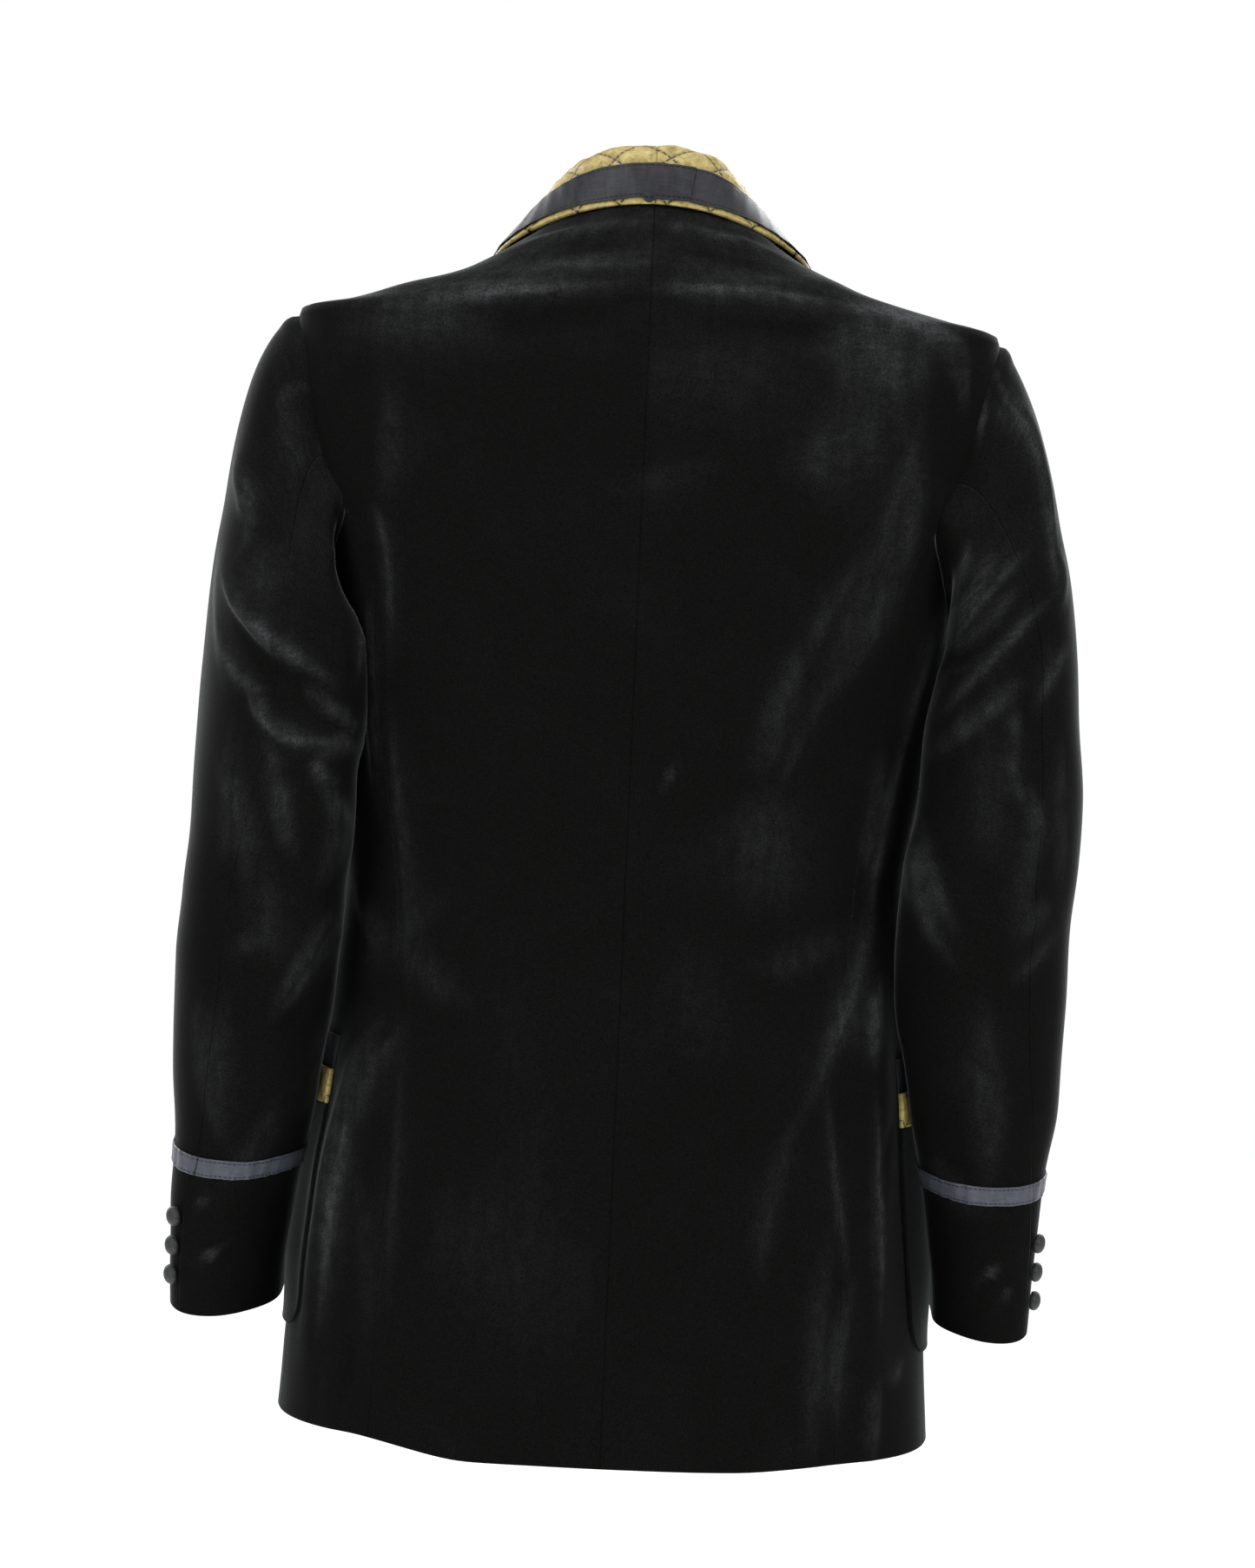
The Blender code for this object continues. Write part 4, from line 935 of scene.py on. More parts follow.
# The lines of painted sheen highlight on the sleeves, given as the back's are.
SLEEVE_MARKS = (
    Mark(128, 78, 146, 110, 158, 160, 5, 0.26),
    Mark(140, 66, 152, 96, 150, 140, 4, 0.18),
    Mark(160, 150, 172, 220, 184, 300, 5, 0.24),
    Mark(182, 290, 190, 350, 184, 420, 4, 0.34),
    Mark(70, 190, 82, 250, 62, 300, 7, 0.16),
    Mark(100, 120, 120, 170, 126, 230, 12, 0.08),
    Mark(56, 322, 104, 362, 186, 430, 5, 0.34),
    Mark(46, 344, 66, 400, 112, 420, 6, 0.32),
    Mark(96, 400, 118, 462, 192, 452, 5, 0.38),
    Mark(100, 440, 108, 500, 134, 560, 8, 0.16),
    Mark(142, 480, 152, 496, 176, 512, 6, 0.30),
    Mark(150, 500, 172, 540, 182, 580, 5, 0.28),
    Mark(176, 560, 172, 610, 150, 670, 5, 0.22),
    Mark(160, 640, 134, 690, 100, 740, 7, 0.18),
    Mark(60, 430, 60, 520, 50, 600, 14, 0.10),
    Mark(66, 650, 76, 662, 84, 676, 10, 0.12),
    Mark(100, 560, 96, 640, 110, 690, 14, 0.08),
    Mark(150, 720, 140, 790, 120, 850, 9, 0.10),
    Mark(28, 700, 26, 760, 30, 840, 8, 0.12),
    Mark(84, 260, 96, 300, 90, 350, 16, 0.08),
    Mark(30, 966, 34, 974, 40, 980, 8, 0.30),
    Mark(20, 918, 26, 922, 30, 928, 5, 0.16),
    Mark(796, 92, 830, 150, 850, 220, 4, 0.30),
    Mark(846, 200, 860, 260, 864, 330, 5, 0.24),
    Mark(788, 92, 796, 130, 790, 190, 4, 0.24),
    Mark(812, 100, 846, 160, 866, 250, 4, 0.16),
    Mark(846, 276, 800, 320, 762, 392, 5, 0.26),
    Mark(868, 320, 806, 380, 744, 458, 6, 0.28),
    Mark(884, 366, 862, 398, 838, 448, 7, 0.24),
    Mark(770, 380, 742, 450, 732, 520, 5, 0.30),
    Mark(780, 262, 772, 320, 768, 380, 5, 0.14),
    Mark(830, 466, 822, 500, 846, 560, 6, 0.18),
    Mark(812, 430, 800, 520, 812, 610, 18, 0.07),
    Mark(736, 520, 748, 600, 776, 668, 7, 0.16),
    Mark(876, 640, 850, 676, 812, 706, 8, 0.12),
    Mark(868, 440, 872, 540, 870, 640, 9, 0.12),
    Mark(790, 700, 800, 770, 790, 850, 16, 0.06),
    Mark(806, 984, 810, 990, 814, 996, 8, 0.30),
    Mark(822, 1008, 826, 1012, 830, 1014, 6, 0.24),
)
SLEEVE_PAINTED_SHEEN_AND_NAP = on_cloth(SLEEVE_MARKS, SLEEVE_NEARNESS)
SLEEVE_FOLDS = deepened(SLEEVE_FOLDS, SLEEVE_FINE_RELIEF)
SLEEVE_CRESTS = crests(SLEEVE_FOLDS, FINE_FOLD)
SLEEVE_FRONT_CRESTS = crests(SLEEVE_FRONT_FOLDS, math.inf)


def armhole_frame(share):
    """Point, outward direction, direction into the hole and turn, by share of the way round."""
    heights, turns = LOOP[:, 0], LOOP[:, 1]
    points = body(place_at(heights), turns)
    closed = np.vstack([points, points[:1]])
    length = np.concatenate([[0], np.cumsum(np.linalg.norm(np.diff(closed, axis=0), axis=1))])
    share = np.mod(share, 1.0)
    height = np.interp(share * length[-1], length, np.append(heights, heights[0]))
    turn = np.interp(share * length[-1], length, np.append(turns, turns[0]))
    place = place_at(height)
    step = length[-1] / 400
    ahead = [np.interp(np.mod(share * length[-1] + k * step, length[-1]), length,
                       np.append(column, column[0]))
             for k in (-1, 1) for column in (heights, turns)]
    run = body(place_at(ahead[2]), ahead[3]) - body(place_at(ahead[0]), ahead[1])
    outward = body_normal(place, turn)
    return body(place, turn), outward, unit(np.cross(run, outward)), turn


def arm_ring(side, below, turn):
    """Ring of the hanging sleeve. turn is 0 outward, 90 at the back and 180 to the body."""
    arm = read(SLEEVES[side], below)
    cosine, sine = np.cos(np.radians(turn)), np.sin(np.radians(turn))
    across = signed_power(cosine, 2 / ARM_SQUARE)
    depth = signed_power(sine, 2 / ARM_SQUARE)
    half_depth = (arm.back - arm.front) / 2
    x = (arm.outer + arm.inner) / 2 + (arm.outer - arm.inner) / 2 * across + arm.toe * depth
    y = (arm.back + arm.front) / 2 + half_depth * depth
    z = -arm.below - arm.tilt * half_depth * depth
    return np.stack(np.broadcast_arrays(x, y, z), axis=-1)


def clear_of_body(points, place):
    """Pushes the sleeve's points out sideways until they clear the body's side."""
    room = SLEEVE_ROOM + SLEEVE_ROOM_AT_POCKET * smooth(-points[..., 2], 485, 512)
    room = room * smooth(place, 0.0, 0.8)
    ring = read(BODY, place_at(points[..., 2]))
    along = points[..., 1] - ring.widest
    depth = np.where(along > 0, ring.back - ring.widest, ring.widest - ring.front) + room
    width = ring.half + room
    reach = (np.abs(points[..., 0] / width) ** ring.square + np.abs(along / depth) ** ring.square)
    reach = np.maximum(reach, 1e-6) ** (1 / ring.square)
    pushed = (reach + 1 + np.sqrt((reach - 1) ** 2 + 0.015 ** 2)) / 2
    scale = 1 + (pushed / reach - 1) * smooth(place, 0.0, 0.12)
    x = points[..., 0] * scale
    y = ring.widest + along * scale
    return np.stack([x, y, points[..., 2]], axis=-1)


def sleeve(side, place, turn):
    """Sleeve surface on the left side. place is 0 at the armhole, 1 below it, 2 at the cuff."""
    place, turn = np.broadcast_arrays(np.asarray(place, float), np.asarray(turn, float))
    point, outward, inward = armhole_frame(turn / 360.0)[:3]
    top, cuff = SLEEVES[side][0].below, SLEEVES[side][-1].below
    end = arm_ring(side, top, turn)
    end_run = unit(arm_ring(side, top + 4, turn) - end)
    under = (1 - np.cos(np.radians(turn))) / 2
    flat = 1.0 - 0.9 * under
    rise = 0.25 + 0.75 * np.sin(np.pi * np.clip(under, 0, 0.5)) ** 2 + 0.1 * under
    rise = rise + HEAD_RISE[side] * (1 - under) ** 4
    start_run = unit(inward * flat[..., None] + outward * rise[..., None])
    start = point + inward * ARMHOLE_ROOM
    gap = np.linalg.norm(end - start, axis=-1, keepdims=True)
    spread = 0.28 + HEAD_SPREAD[side] * ((1 - under) ** 2)[..., None]
    v = np.clip(place, 0, 1)[..., None]
    cap = (
        start * (1 + 2 * v) * (1 - v) ** 2 + end * v * v * (3 - 2 * v)
        + start_run * gap * spread * v * (1 - v) ** 2 - end_run * gap * 1.15 * v * v * (1 - v)
    )
    below = top + (cuff - top) * np.clip(place - 1, 0, 1)
    points = np.where(place[..., None] < 1, cap, arm_ring(side, below, turn))
    return clear_of_body(points, place)


def sleeve_folds(side, place, turn, base):
    """Rise of the creases behind the arm and in front of it."""
    sine = np.sin(np.radians(turn))
    x, z = base[..., 0], base[..., 2]
    below_head = smooth(place, 0.1, 0.4)
    rise = smooth(sine, -0.05, 0.35) * below_head * fold_rise(SLEEVE_FOLDS[side], x, z)
    rise = rise + smooth(-sine, 0.1, 0.5) * below_head * fold_rise(SLEEVE_FRONT_FOLDS[side], x, z)
    return rise + below_head * drift(base[..., 0] + 40 * sine, z)


def sleeve_out(side, place, turn, out):
    """A point that far out of the creased sleeve, on either side of the jacket."""
    place, turn = np.broadcast_arrays(np.asarray(place, float), np.asarray(turn, float))
    base = sleeve(side, place, turn)
    outward = -normal(lambda a, b: sleeve(side, a, b), np.clip(place, 0.004, 1.996), turn,
                      0.004, 2.0)
    points = base + outward * (sleeve_folds(side, place, turn, base) + out)[..., None]
    point, hole_outward, _, hole_turn = armhole_frame(turn / 360.0)
    follow = body_rise(side, point, hole_turn) * (1 - smooth(place, 0.0, 0.2))
    follow = follow - ARMHOLE_TUCK * (1 - smooth(place, 0.0, 0.010))
    near_top = ((1 + np.cos(np.radians(turn))) / 2) ** 3
    follow = follow + HEAD_PUFF * near_top * (smooth(place, 0.002, 0.016) - smooth(place, 0.04, 0.14))
    return (points + hole_outward * follow[..., None]) * (side, 1, 1)


def sleeve_painted_sheen_and_nap(side, place, turn):
    """How much painted highlight the sleeve's nap gets: painted sheen along its listed lines, and a little
    more painted highlight along every crest.
    """
    base = sleeve(side, place, turn)
    sine = np.sin(np.radians(turn))
    x, z = base[..., 0], base[..., 2]
    back, front = smooth(sine, -0.05, 0.35), smooth(-sine, 0.1, 0.5)
    light = back * painted_sheen_and_nap_lines(SLEEVE_PAINTED_SHEEN_AND_NAP[side], x, z)
    light += BACK_CREST_LIGHT * back * fold_rise(SLEEVE_CRESTS[side], x, z)
    light += FRONT_CREST_LIGHT * front * fold_rise(SLEEVE_FRONT_CRESTS[side], x, z)
    return np.clip(light, 0, 1)


def hind_seam(side, place):
    seam = read(HIND_SEAM, place)
    return seam.left if side > 0 else seam.right


for side, word in WORDS.items():
    gap_turn = math.degrees(SEAM / 2 / ARM_RADIUS)
    rows = np.concatenate([np.linspace(0, 0.006, 4), np.linspace(0.006, 1, 74)[1:],
                           np.linspace(1, 1.994, 116)[1:], np.linspace(1.994, 2, 4)[1:]]) / 2

    def top_at(across, up, side=side):
        place = 2 * (1 - up)
        low, high = FORE_SEAM_TURN - 360 + gap_turn, hind_seam(side, place) - gap_turn
        return place, low + (high - low) * across

    def under_at(across, up, side=side):
        place = 2 * (1 - up)
        low, high = hind_seam(side, place) + gap_turn, FORE_SEAM_TURN - gap_turn
        return place, low + (high - low) * across

    for piece_word, at, columns, width, flat, area in (
        ("top", top_at, 66, 190, (0.230, 0.660), 0.120),
        ("under", under_at, 54, 150, (0.180, 0.580), 0.088),
    ):
        def sleeve_surface(across, up, out, side=side, at=at):
            return sleeve_out(side, *at(across, up), out)

        def sleeve_piece_painted_sheen_and_nap(across, up, side=side, at=at):
            return sleeve_painted_sheen_and_nap(side, *at(across, up))

        panel = cloth_wall(f"sleeve_{piece_word}_cloth_{word}", close_at_ends(columns, width),
                           1 - rows[::-1], sleeve_surface, VELVET, VELVET_CLOTH, width,
                           SLEEVE_LENGTH, backing=VELVET_BACK, painted_sheen_and_nap=sleeve_piece_painted_sheen_and_nap)
        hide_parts(f"sleeve_{piece_word}_{word}")

# The cuff ribbons: slate satin ribbon sewn flat round each cuff, a little puckered by its
# stitches, with its raw ends turned under and meeting behind the arm.
CUFF_RIBBON_ROOM = 0.15
CUFF_RIBBON_WIDTH = 12.0
CUFF_RIBBON_ABOVE_EDGE = 98.0
CUFF_RIBBON_JOIN = {1: 64.0, -1: 50.0}
CUFF_ROUND = 270.0
RIBBON = 0.6
STITCH_INSET = 1.6
STITCH_PITCH = 2.8
STITCH_LENGTH = 2.0


def satin_ribbon_material(name, dark, light, tint, width, roughness):
    """Satin ribbon: fine warp along it, a soft gloss, and a line of stitches near each edge."""
    made, tree, shader = new_material(
        name, Roughness=roughness, Specular_IOR_Level=0.16, Sheen_Weight=0.05,
        Sheen_Roughness=0.3, Sheen_Tint=tint,
    )
    cloth_map = add_node(tree, "ShaderNodeUVMap", uv_map="cloth").outputs[0]
    warp = noise(tree, stretched(tree, cloth_map, (2600, 90, 1)), 1.0, Detail=3.0, Roughness=0.65)
    clouds = noise(tree, stretched(tree, cloth_map, (45, 190, 1)), 1.0, Detail=3.0, Roughness=0.6)
    share = mapped(tree, calculate(tree, "MULTIPLY", warp, clouds), 0.12, 0.40)
    place = add_node(tree, "ShaderNodeSeparateXYZ", {0: cloth_map})
    from_middle = calculate(tree, "SUBTRACT", place.outputs["X"], width * MM / 2)
    from_middle = calculate(tree, "ABSOLUTE", from_middle)
    from_line = calculate(tree, "SUBTRACT", from_middle, (width / 2 - STITCH_INSET) * MM)
    sewn = mapped(tree, calculate(tree, "ABSOLUTE", from_line), 0.0002, 0.0006, 1.0, 0.0)
    stitch = calculate(tree, "MODULO", place.outputs["Y"], STITCH_PITCH * MM)
    stitch = calculate(tree, "LESS_THAN", stitch, STITCH_LENGTH * MM)
    sewn = calculate(tree, "MULTIPLY", sewn, stitch)
    thread = tuple(0.35 * value for value in dark[:3]) + (1,)
    colour = mixed(tree, sewn, mixed(tree, share, dark, light), thread)
    height = calculate(tree, "MULTIPLY_ADD", sewn, -0.8, warp)
    set_surface(tree, shader, colour, height, 0.35, 0.0004)
    return made


SLATE_RIBBON = satin_ribbon_material(
    "slate satin ribbon", (0.030, 0.033, 0.043, 1), (0.062, 0.066, 0.081, 1), (0.8, 0.85, 1.0, 1),
    CUFF_RIBBON_WIDTH, 0.36,
)

for side, word in WORDS.items():
    sleeve_length = SLEEVES[side][-1].below - SLEEVES[side][0].below
    middle = 2 - CUFF_RIBBON_ABOVE_EDGE / sleeve_length
    half = CUFF_RIBBON_WIDTH / 2 / sleeve_length

    def ribbon_surface(across, up, out, side=side, middle=middle, half=half):
        turn = CUFF_RIBBON_JOIN[side] + 0.2 + 359.6 * up
        place = middle + half * (1 - 2 * across)
        pucker = 0.20 * np.sin(turn * 0.9 + 3 * np.sin(turn * 0.071)) * np.abs(2 * across - 1) ** 2
        pucker += 0.28 * np.sin(turn * 0.37 + 2 * across + 2.4 * np.sin(turn * 0.05))
        tucked = -0.5 * np.exp(-((up * 300 / 1.5) ** 2)) - 0.5 * np.exp(-(((1 - up) * 300 / 1.5) ** 2))
        lift = np.where(out > -0.3, pucker + 0.35 + tucked, 0.0)
        return sleeve_out(side, place, turn, out + lift + CUFF_RIBBON_ROOM + RIBBON)

    ribbon = cloth_wall("cuff_ribbon_satin_" + word, close_at_ends(8, CUFF_RIBBON_WIDTH),
                        close_at_ends(230, CUFF_ROUND), ribbon_surface, RIBBON, SLATE_RIBBON,
                        CUFF_RIBBON_WIDTH, CUFF_ROUND)
    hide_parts("cuff_ribbon_" + word)

# The cuff buttons: three on each cuff, domes covered in black silk cord that is woven in a
# basket pattern, each sewn on by a short thread shank beside the hind seam.
CUFF_BUTTON = 12.7
CUFF_BUTTON_PITCH = 19.5
CUFF_BUTTON_ABOVE_EDGE = 24.0
CUFF_BUTTON_TURN = 9.0


def woven_cord_material():
    """Silk cord in a basket weave, two over and two under, with a soft gloss and painted shade in the
    hollows of the weave.
    """
    made, tree, shader = new_material(
        "woven silk cord", Roughness=0.55, Specular_IOR_Level=0.3, Sheen_Weight=0.06,
        Sheen_Roughness=0.3, Sheen_Tint=(0.75, 0.8, 0.9, 1),
    )
    cloth_map = add_node(tree, "ShaderNodeUVMap", uv_map="cloth").outputs[0]
    strands = noise(tree, cloth_map, 3200.0, Detail=2.0, Roughness=0.6)
    painted_shade_between_cords = add_node(tree, "ShaderNodeAttribute", attribute_name="painted_shade_between_cords").outputs["Fac"]
    # Painted shade: the weave is darker in its hollows and lighter on its raised tops.
    colour = mixed(tree, painted_shade_between_cords, (0.003, 0.003, 0.003, 1), (0.020, 0.021, 0.023, 1))
    set_surface(tree, shader, colour, strands, 0.4, 0.0002)
    return made


WOVEN_CORD = woven_cord_material()


def covered_button(name, point, outward, diameter, cord):
    """A turned dome on a thread shank, its cover's cord raised in a basket weave, whose height also sets
    painted shade in the weave's hollows.
    """
    radius = diameter / 2
    profile = [(0.0, 0.15), (1.8, 0.15), (1.6, 0.7), (0.80 * radius, 0.75), (0.93 * radius, 1.0)]
    profile += [(radius * math.cos(math.radians(turn)),
                 0.24 * diameter + 0.32 * diameter * math.sin(math.radians(turn)))
                for turn in range(-24, 90, 6)]
    dome = bmesh.new()
    line = [dome.verts.new((x, 0, z)) for x, z in profile + [(0.0, 0.56 * diameter)]]
    edges = [dome.edges.new(pair) for pair in zip(line, line[1:])]
    bmesh.ops.spin(dome, geom=line + edges, cent=(0, 0, 0), axis=(0, 0, 1), angle=2 * math.pi,
                   steps=64, use_merge=True)
    bmesh.ops.remove_doubles(dome, verts=dome.verts[:], dist=0.001)
    bmesh.ops.recalc_face_normals(dome, faces=dome.faces[:])
    pitch = cord * 2
    places = np.array([vertex.co for vertex in dome.verts])
    over = np.sign(np.sin(np.pi * places[:, 0] / pitch) * np.sin(np.pi * places[:, 1] / pitch))
    first = np.abs(np.sin(np.pi * places[:, 0] / cord))
    second = np.abs(np.sin(np.pi * places[:, 1] / cord))
    raised = np.where(over > 0, first, second) ** 0.7
    raised = raised * np.clip((places[:, 2] - 1.2) / 1.0, 0, 1)
    outward = unit(np.asarray(outward, float))
    sideways = unit(np.cross(outward, (0.0, 0.0, 1.0)))
    upward = np.cross(sideways, outward)
    middle = np.array([0.0, 0.0, 0.2 * diameter])
    swollen = places + unit(places - middle) * (0.22 * (raised - 0.5))[:, None]
    swollen[:, 2] = np.maximum(swollen[:, 2], 0.15)
    set_on = point + (swollen[:, :1] * sideways + swollen[:, 1:2] * upward + swollen[:, 2:] * outward)
    for vertex, place in zip(dome.verts, set_on * MM):
        vertex.co = place
    mesh = bpy.data.meshes.new(name)
    dome.to_mesh(mesh)
    dome.free()
    cloth_map = mesh.uv_layers.new(name="cloth")
    corners = np.empty(len(mesh.loops), int)
    mesh.loops.foreach_get("vertex_index", corners)
    cloth_map.data.foreach_set("uv", (places[corners][:, :2] * MM).ravel())
    # The weave's height, kept for the painted shade in its hollows.
    painted_shade_between_cords = mesh.attributes.new("painted_shade_between_cords", "FLOAT", "POINT")
    painted_shade_between_cords.data.foreach_set("value", raised)
    mesh.materials.append(WOVEN_CORD)
    mesh.shade_smooth()
    button = bpy.data.objects.new(name, mesh)
    bpy.context.scene.collection.objects.link(button)
    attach(button, "root")
    return button


for side, word in WORDS.items():
    sleeve_length = SLEEVES[side][-1].below - SLEEVES[side][0].below
    for i in range(3):
        place = 2 - (CUFF_BUTTON_ABOVE_EDGE + CUFF_BUTTON_PITCH * i) / sleeve_length
        turn = hind_seam(side, place) - CUFF_BUTTON_TURN
        point = sleeve_out(side, np.array(place), np.array(turn), np.array(0.0))
        above = sleeve_out(side, np.array(place), np.array(turn), np.array(1.0))
        button = covered_button(f"woven_cuff_button_{word}_{i + 1}", point, above - point,
                                CUFF_BUTTON, 1.25)
        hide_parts(f"cuff_button_{word}_{i + 1}")

# The shawl collar: old-gold satin, quilted to its wadding in squares set on their corners with a
# dark thread. Its stand rises at the back of the neck, and its fall rolls down to the one button.
QUILT = 2.5
QUILT_SPACING = 18.5
QUILT_SHIFT = 6.0
QUILT_RISE = 1.3
STAND_SHARE = 0.25
NECK_END = 135.0
NECK_END_TURN = -33.4
COLLAR_ROOM = 1.2
COLLAR_SEAM_ROOM = 1.0
COLLAR_RIBBON_WIDTH = 19.0
COLLAR_RIBBON_MARGIN = 2.8
COLLAR_WIDTH = 110.0
COLLAR_LENGTH = 640.0
Shawl = namedtuple("Shawl", "along place stand upright outer_place outer_turn belly")
COLLAR_BACK = (Shawl(0, 2.000, 31, 4.0, 1.880, 90, 3), Shawl(24, 2.000, 31, 3.3, 1.871, 76, 2.5))
COLLAR_SIDE = {
    1: (Shawl(52, 2.000, 30, 2.2, 1.860, 58, 2), Shawl(104, 2.000, 26, 1.0, 1.830, 4, 1)),
    -1: (Shawl(52, 2.000, 28, 1.3, 1.860, 58, 2), Shawl(104, 2.000, 23, 0.5, 1.830, 4, 1)),
}
COLLAR_FRONT = (
    Shawl(135, 2.000, 16, 0.6, 1.720, -22, 2),
    Shawl(165, 1.680, 8, 0.3, 1.500, -37, 4),
    Shawl(198, 1.330, 6, 0.1, 1.200, -49, 6),
    Shawl(228, 1.000, 5, 0.0, 0.975, -57, 7),
    Shawl(290, 0.910, 4, 0.0, 0.890, -57, 7),
    Shawl(350, 0.828, 4, 0.0, 0.810, -57, 7),
    Shawl(420, 0.734, 4, 0.0, 0.720, -59, 6),
    Shawl(480, 0.652, 4, 0.0, 0.643, -65, 5),
    Shawl(525, 0.592, 4, 0.0, 0.586, -74, 4),
    Shawl(560, 0.548, 4, 0.0, 0.545, -84, 3),
)
COLLAR = {side: COLLAR_BACK + COLLAR_SIDE[side] + COLLAR_FRONT for side in (1, -1)}
COLLAR_END = COLLAR_FRONT[-1].along


def bezier(part, a, b, c, d):
    rest = 1 - part
    return a * rest ** 3 + 3 * b * part * rest ** 2 + 3 * c * part ** 2 * rest + d * part ** 3


def collar_frame(side, along):
    """The collar's seam on the body, with the way out from it."""
    shawl = read(COLLAR[side], along)
    neck = 90 + (NECK_END_TURN - 90) * np.clip(along / NECK_END, 0, 1)
    turn = np.where(along < NECK_END, neck, front_edge_turn(shawl.place))
    return shawl, body(shawl.place, turn), body_normal(shawl.place, turn)


def collar(side, along, across):
    """Collar surface on the left side. across is 0 at the seam, 1 at the outer edge."""
    along, across = np.broadcast_arrays(np.asarray(along, float), np.asarray(across, float))
    mirrored = np.where(along < 0, -1.0, 1.0)
    along = np.abs(along)
    shawl, point, outward = collar_frame(side, along)
    ahead = collar_frame(side, np.minimum(along + 2, COLLAR_END))[1]
    behind = collar_frame(side, np.maximum(along - 2, 0))[1]
    inward = unit(np.cross(ahead - behind, outward))
    up = unit(inward + shawl.upright[..., None] * (0, 0, 1))
    out = unit(outward - up * np.sum(outward * up, axis=-1, keepdims=True))
    seam = point + up * COLLAR_SEAM_ROOM - out * (QUILT - SEAM)
    lap = (VELVET + 2 * LYING) * (1 - smooth(shawl.place, 0.55, 0.66))[..., None]
    fold = point + up * shawl.stand[..., None] + out * (2.0 + lap)
    edge_out = body_normal(shawl.outer_place, shawl.outer_turn)
    edge = body(shawl.outer_place, shawl.outer_turn) + edge_out * (COLLAR_ROOM + QUILT + lap)
    stand = np.clip(across / STAND_SHARE, 0, 1)[..., None]
    fall = np.clip((across - STAND_SHARE) / (1 - STAND_SHARE), 0, 1)[..., None]
    rise = shawl.stand[..., None] * 0.5
    inner = bezier(stand, seam, seam + up * rise, fold - out * 4.2, fold)
    lay = edge + (fold - edge) * 0.35 + (edge_out + out) * 0.7 * shawl.belly[..., None]
    outer = bezier(fall, fold, fold + out * 6.0, lay, edge)
    points = np.where(across[..., None] < STAND_SHARE, inner, outer)
    return points * np.stack([mirrored, np.ones_like(mirrored), np.ones_like(mirrored)], axis=-1)


def measure_fall(side, along):
    """Length across the collar from the fold to the outer edge."""
    across = np.linspace(STAND_SHARE, 1, 13)
    total = np.zeros(np.shape(along))
    for i in range(12):
        step = collar(side, along, across[i + 1]) - collar(side, along, across[i])
        total = total + np.linalg.norm(step, axis=-1)
    return total


STATIONS = np.linspace(0, COLLAR_END, 141)
FALLS = {side: measure_fall(side, STATIONS) for side in (1, -1)}


def fall_length(side, along):
    return np.interp(np.abs(along), STATIONS, FALLS[side])


def quilting(first, second):
    """Height of the wadding between two crossing families of stitch lines."""
    a = (first + second) / math.sqrt(2) / QUILT_SPACING
    b = (first - second) / math.sqrt(2) / QUILT_SPACING
    return QUILT_RISE * np.sqrt(np.abs(np.sin(np.pi * a) * np.sin(np.pi * b)))


def wrinkles(first, second):
    """Small uneven drags in the satin, which its stitches pull towards them."""
    drag = np.sin(first * 0.61 + 2.1 * np.sin(second * 0.17)) * np.sin(second * 0.43 + first * 0.09)
    return drag + 0.6 * np.sin(first * 0.23 - second * 0.35 + 1.7 * np.sin(first * 0.05))


def collar_out(side, along, across, out, quilted=True):
    """A point that far out of the collar, on either side of the jacket."""
    outward = normal(lambda a, b: collar(side, b, a), across, along, 0.012, 1.5)
    points = collar(side, along, across) + outward * np.asarray(out)[..., None]
    if quilted:
        from_edge = (1 - across) / (1 - STAND_SHARE) * fall_length(side, along)
        sewn_down = COLLAR_RIBBON_MARGIN + COLLAR_RIBBON_WIDTH
        outer = np.asarray(out) > -1.2
        inside = smooth(from_edge, sewn_down, sewn_down + 4) * outer
        rise = inside * (quilting(side * along + QUILT_SHIFT, from_edge) + 0.3 * wrinkles(along, from_edge))
        margin = (1 - smooth(from_edge, 3.0, 5.5)) * outer
        rise = rise + margin * 0.18 * np.sin(along * 1.15 + 1.6 * np.sin(along * 0.19))
        points = points + outward * rise[..., None]
    return points * (side, 1, 1)


def stitch_group():
    """Crossing lines of running stitches, with the dent that each pulls into the satin."""
    group, given, result = new_group("quilting stitches", ("Spacing", "Thread", "Stitch"),
                                     ("Thread Mask", "Dent"))

    def math_node(operation, *values):
        return calculate(group, operation, *values)

    cloth_map = add_node(group, "ShaderNodeUVMap", uv_map="cloth").outputs[0]
    place = add_node(group, "ShaderNodeSeparateXYZ", {0: cloth_map})
    diagonal = math.sqrt(0.5)
    first = math_node("MULTIPLY", math_node("ADD", place.outputs["X"], place.outputs["Y"]), diagonal)
    second = math_node("MULTIPLY", math_node("SUBTRACT", place.outputs["X"], place.outputs["Y"]), diagonal)
    threads, dents = [], []
    for across, along in ((first, second), (second, first)):
        waver = math_node("SUBTRACT", noise(group, cloth_map, 60.0), 0.5)
        waver = math_node("MULTIPLY", waver, 0.0012)
        share = math_node("DIVIDE", math_node("ADD", across, waver), given.outputs["Spacing"])
        share = math_node("SUBTRACT", math_node("FRACT", math_node("ADD", share, 0.5)), 0.5)
        away = math_node("MULTIPLY", math_node("ABSOLUTE", share), given.outputs["Spacing"])
        line = mapped(group, away, given.outputs["Thread"],
                      math_node("MULTIPLY", given.outputs["Thread"], 1.6), 1.0, 0.0)
        run = math_node("FRACT", math_node("DIVIDE", along, given.outputs["Stitch"]))
        shown = math_node("LESS_THAN", run, 0.72)
        threads.append(math_node("MULTIPLY", line, shown))
        dents.append(mapped(group, away, 0.0, 0.0022, 1.0, 0.0, interpolation_type="SMOOTHSTEP"))
    group.links.new(math_node("MAXIMUM", *threads), result.inputs["Thread Mask"])
    group.links.new(math_node("MAXIMUM", *dents), result.inputs["Dent"])
    return group


QUILTING_STITCHES = stitch_group()


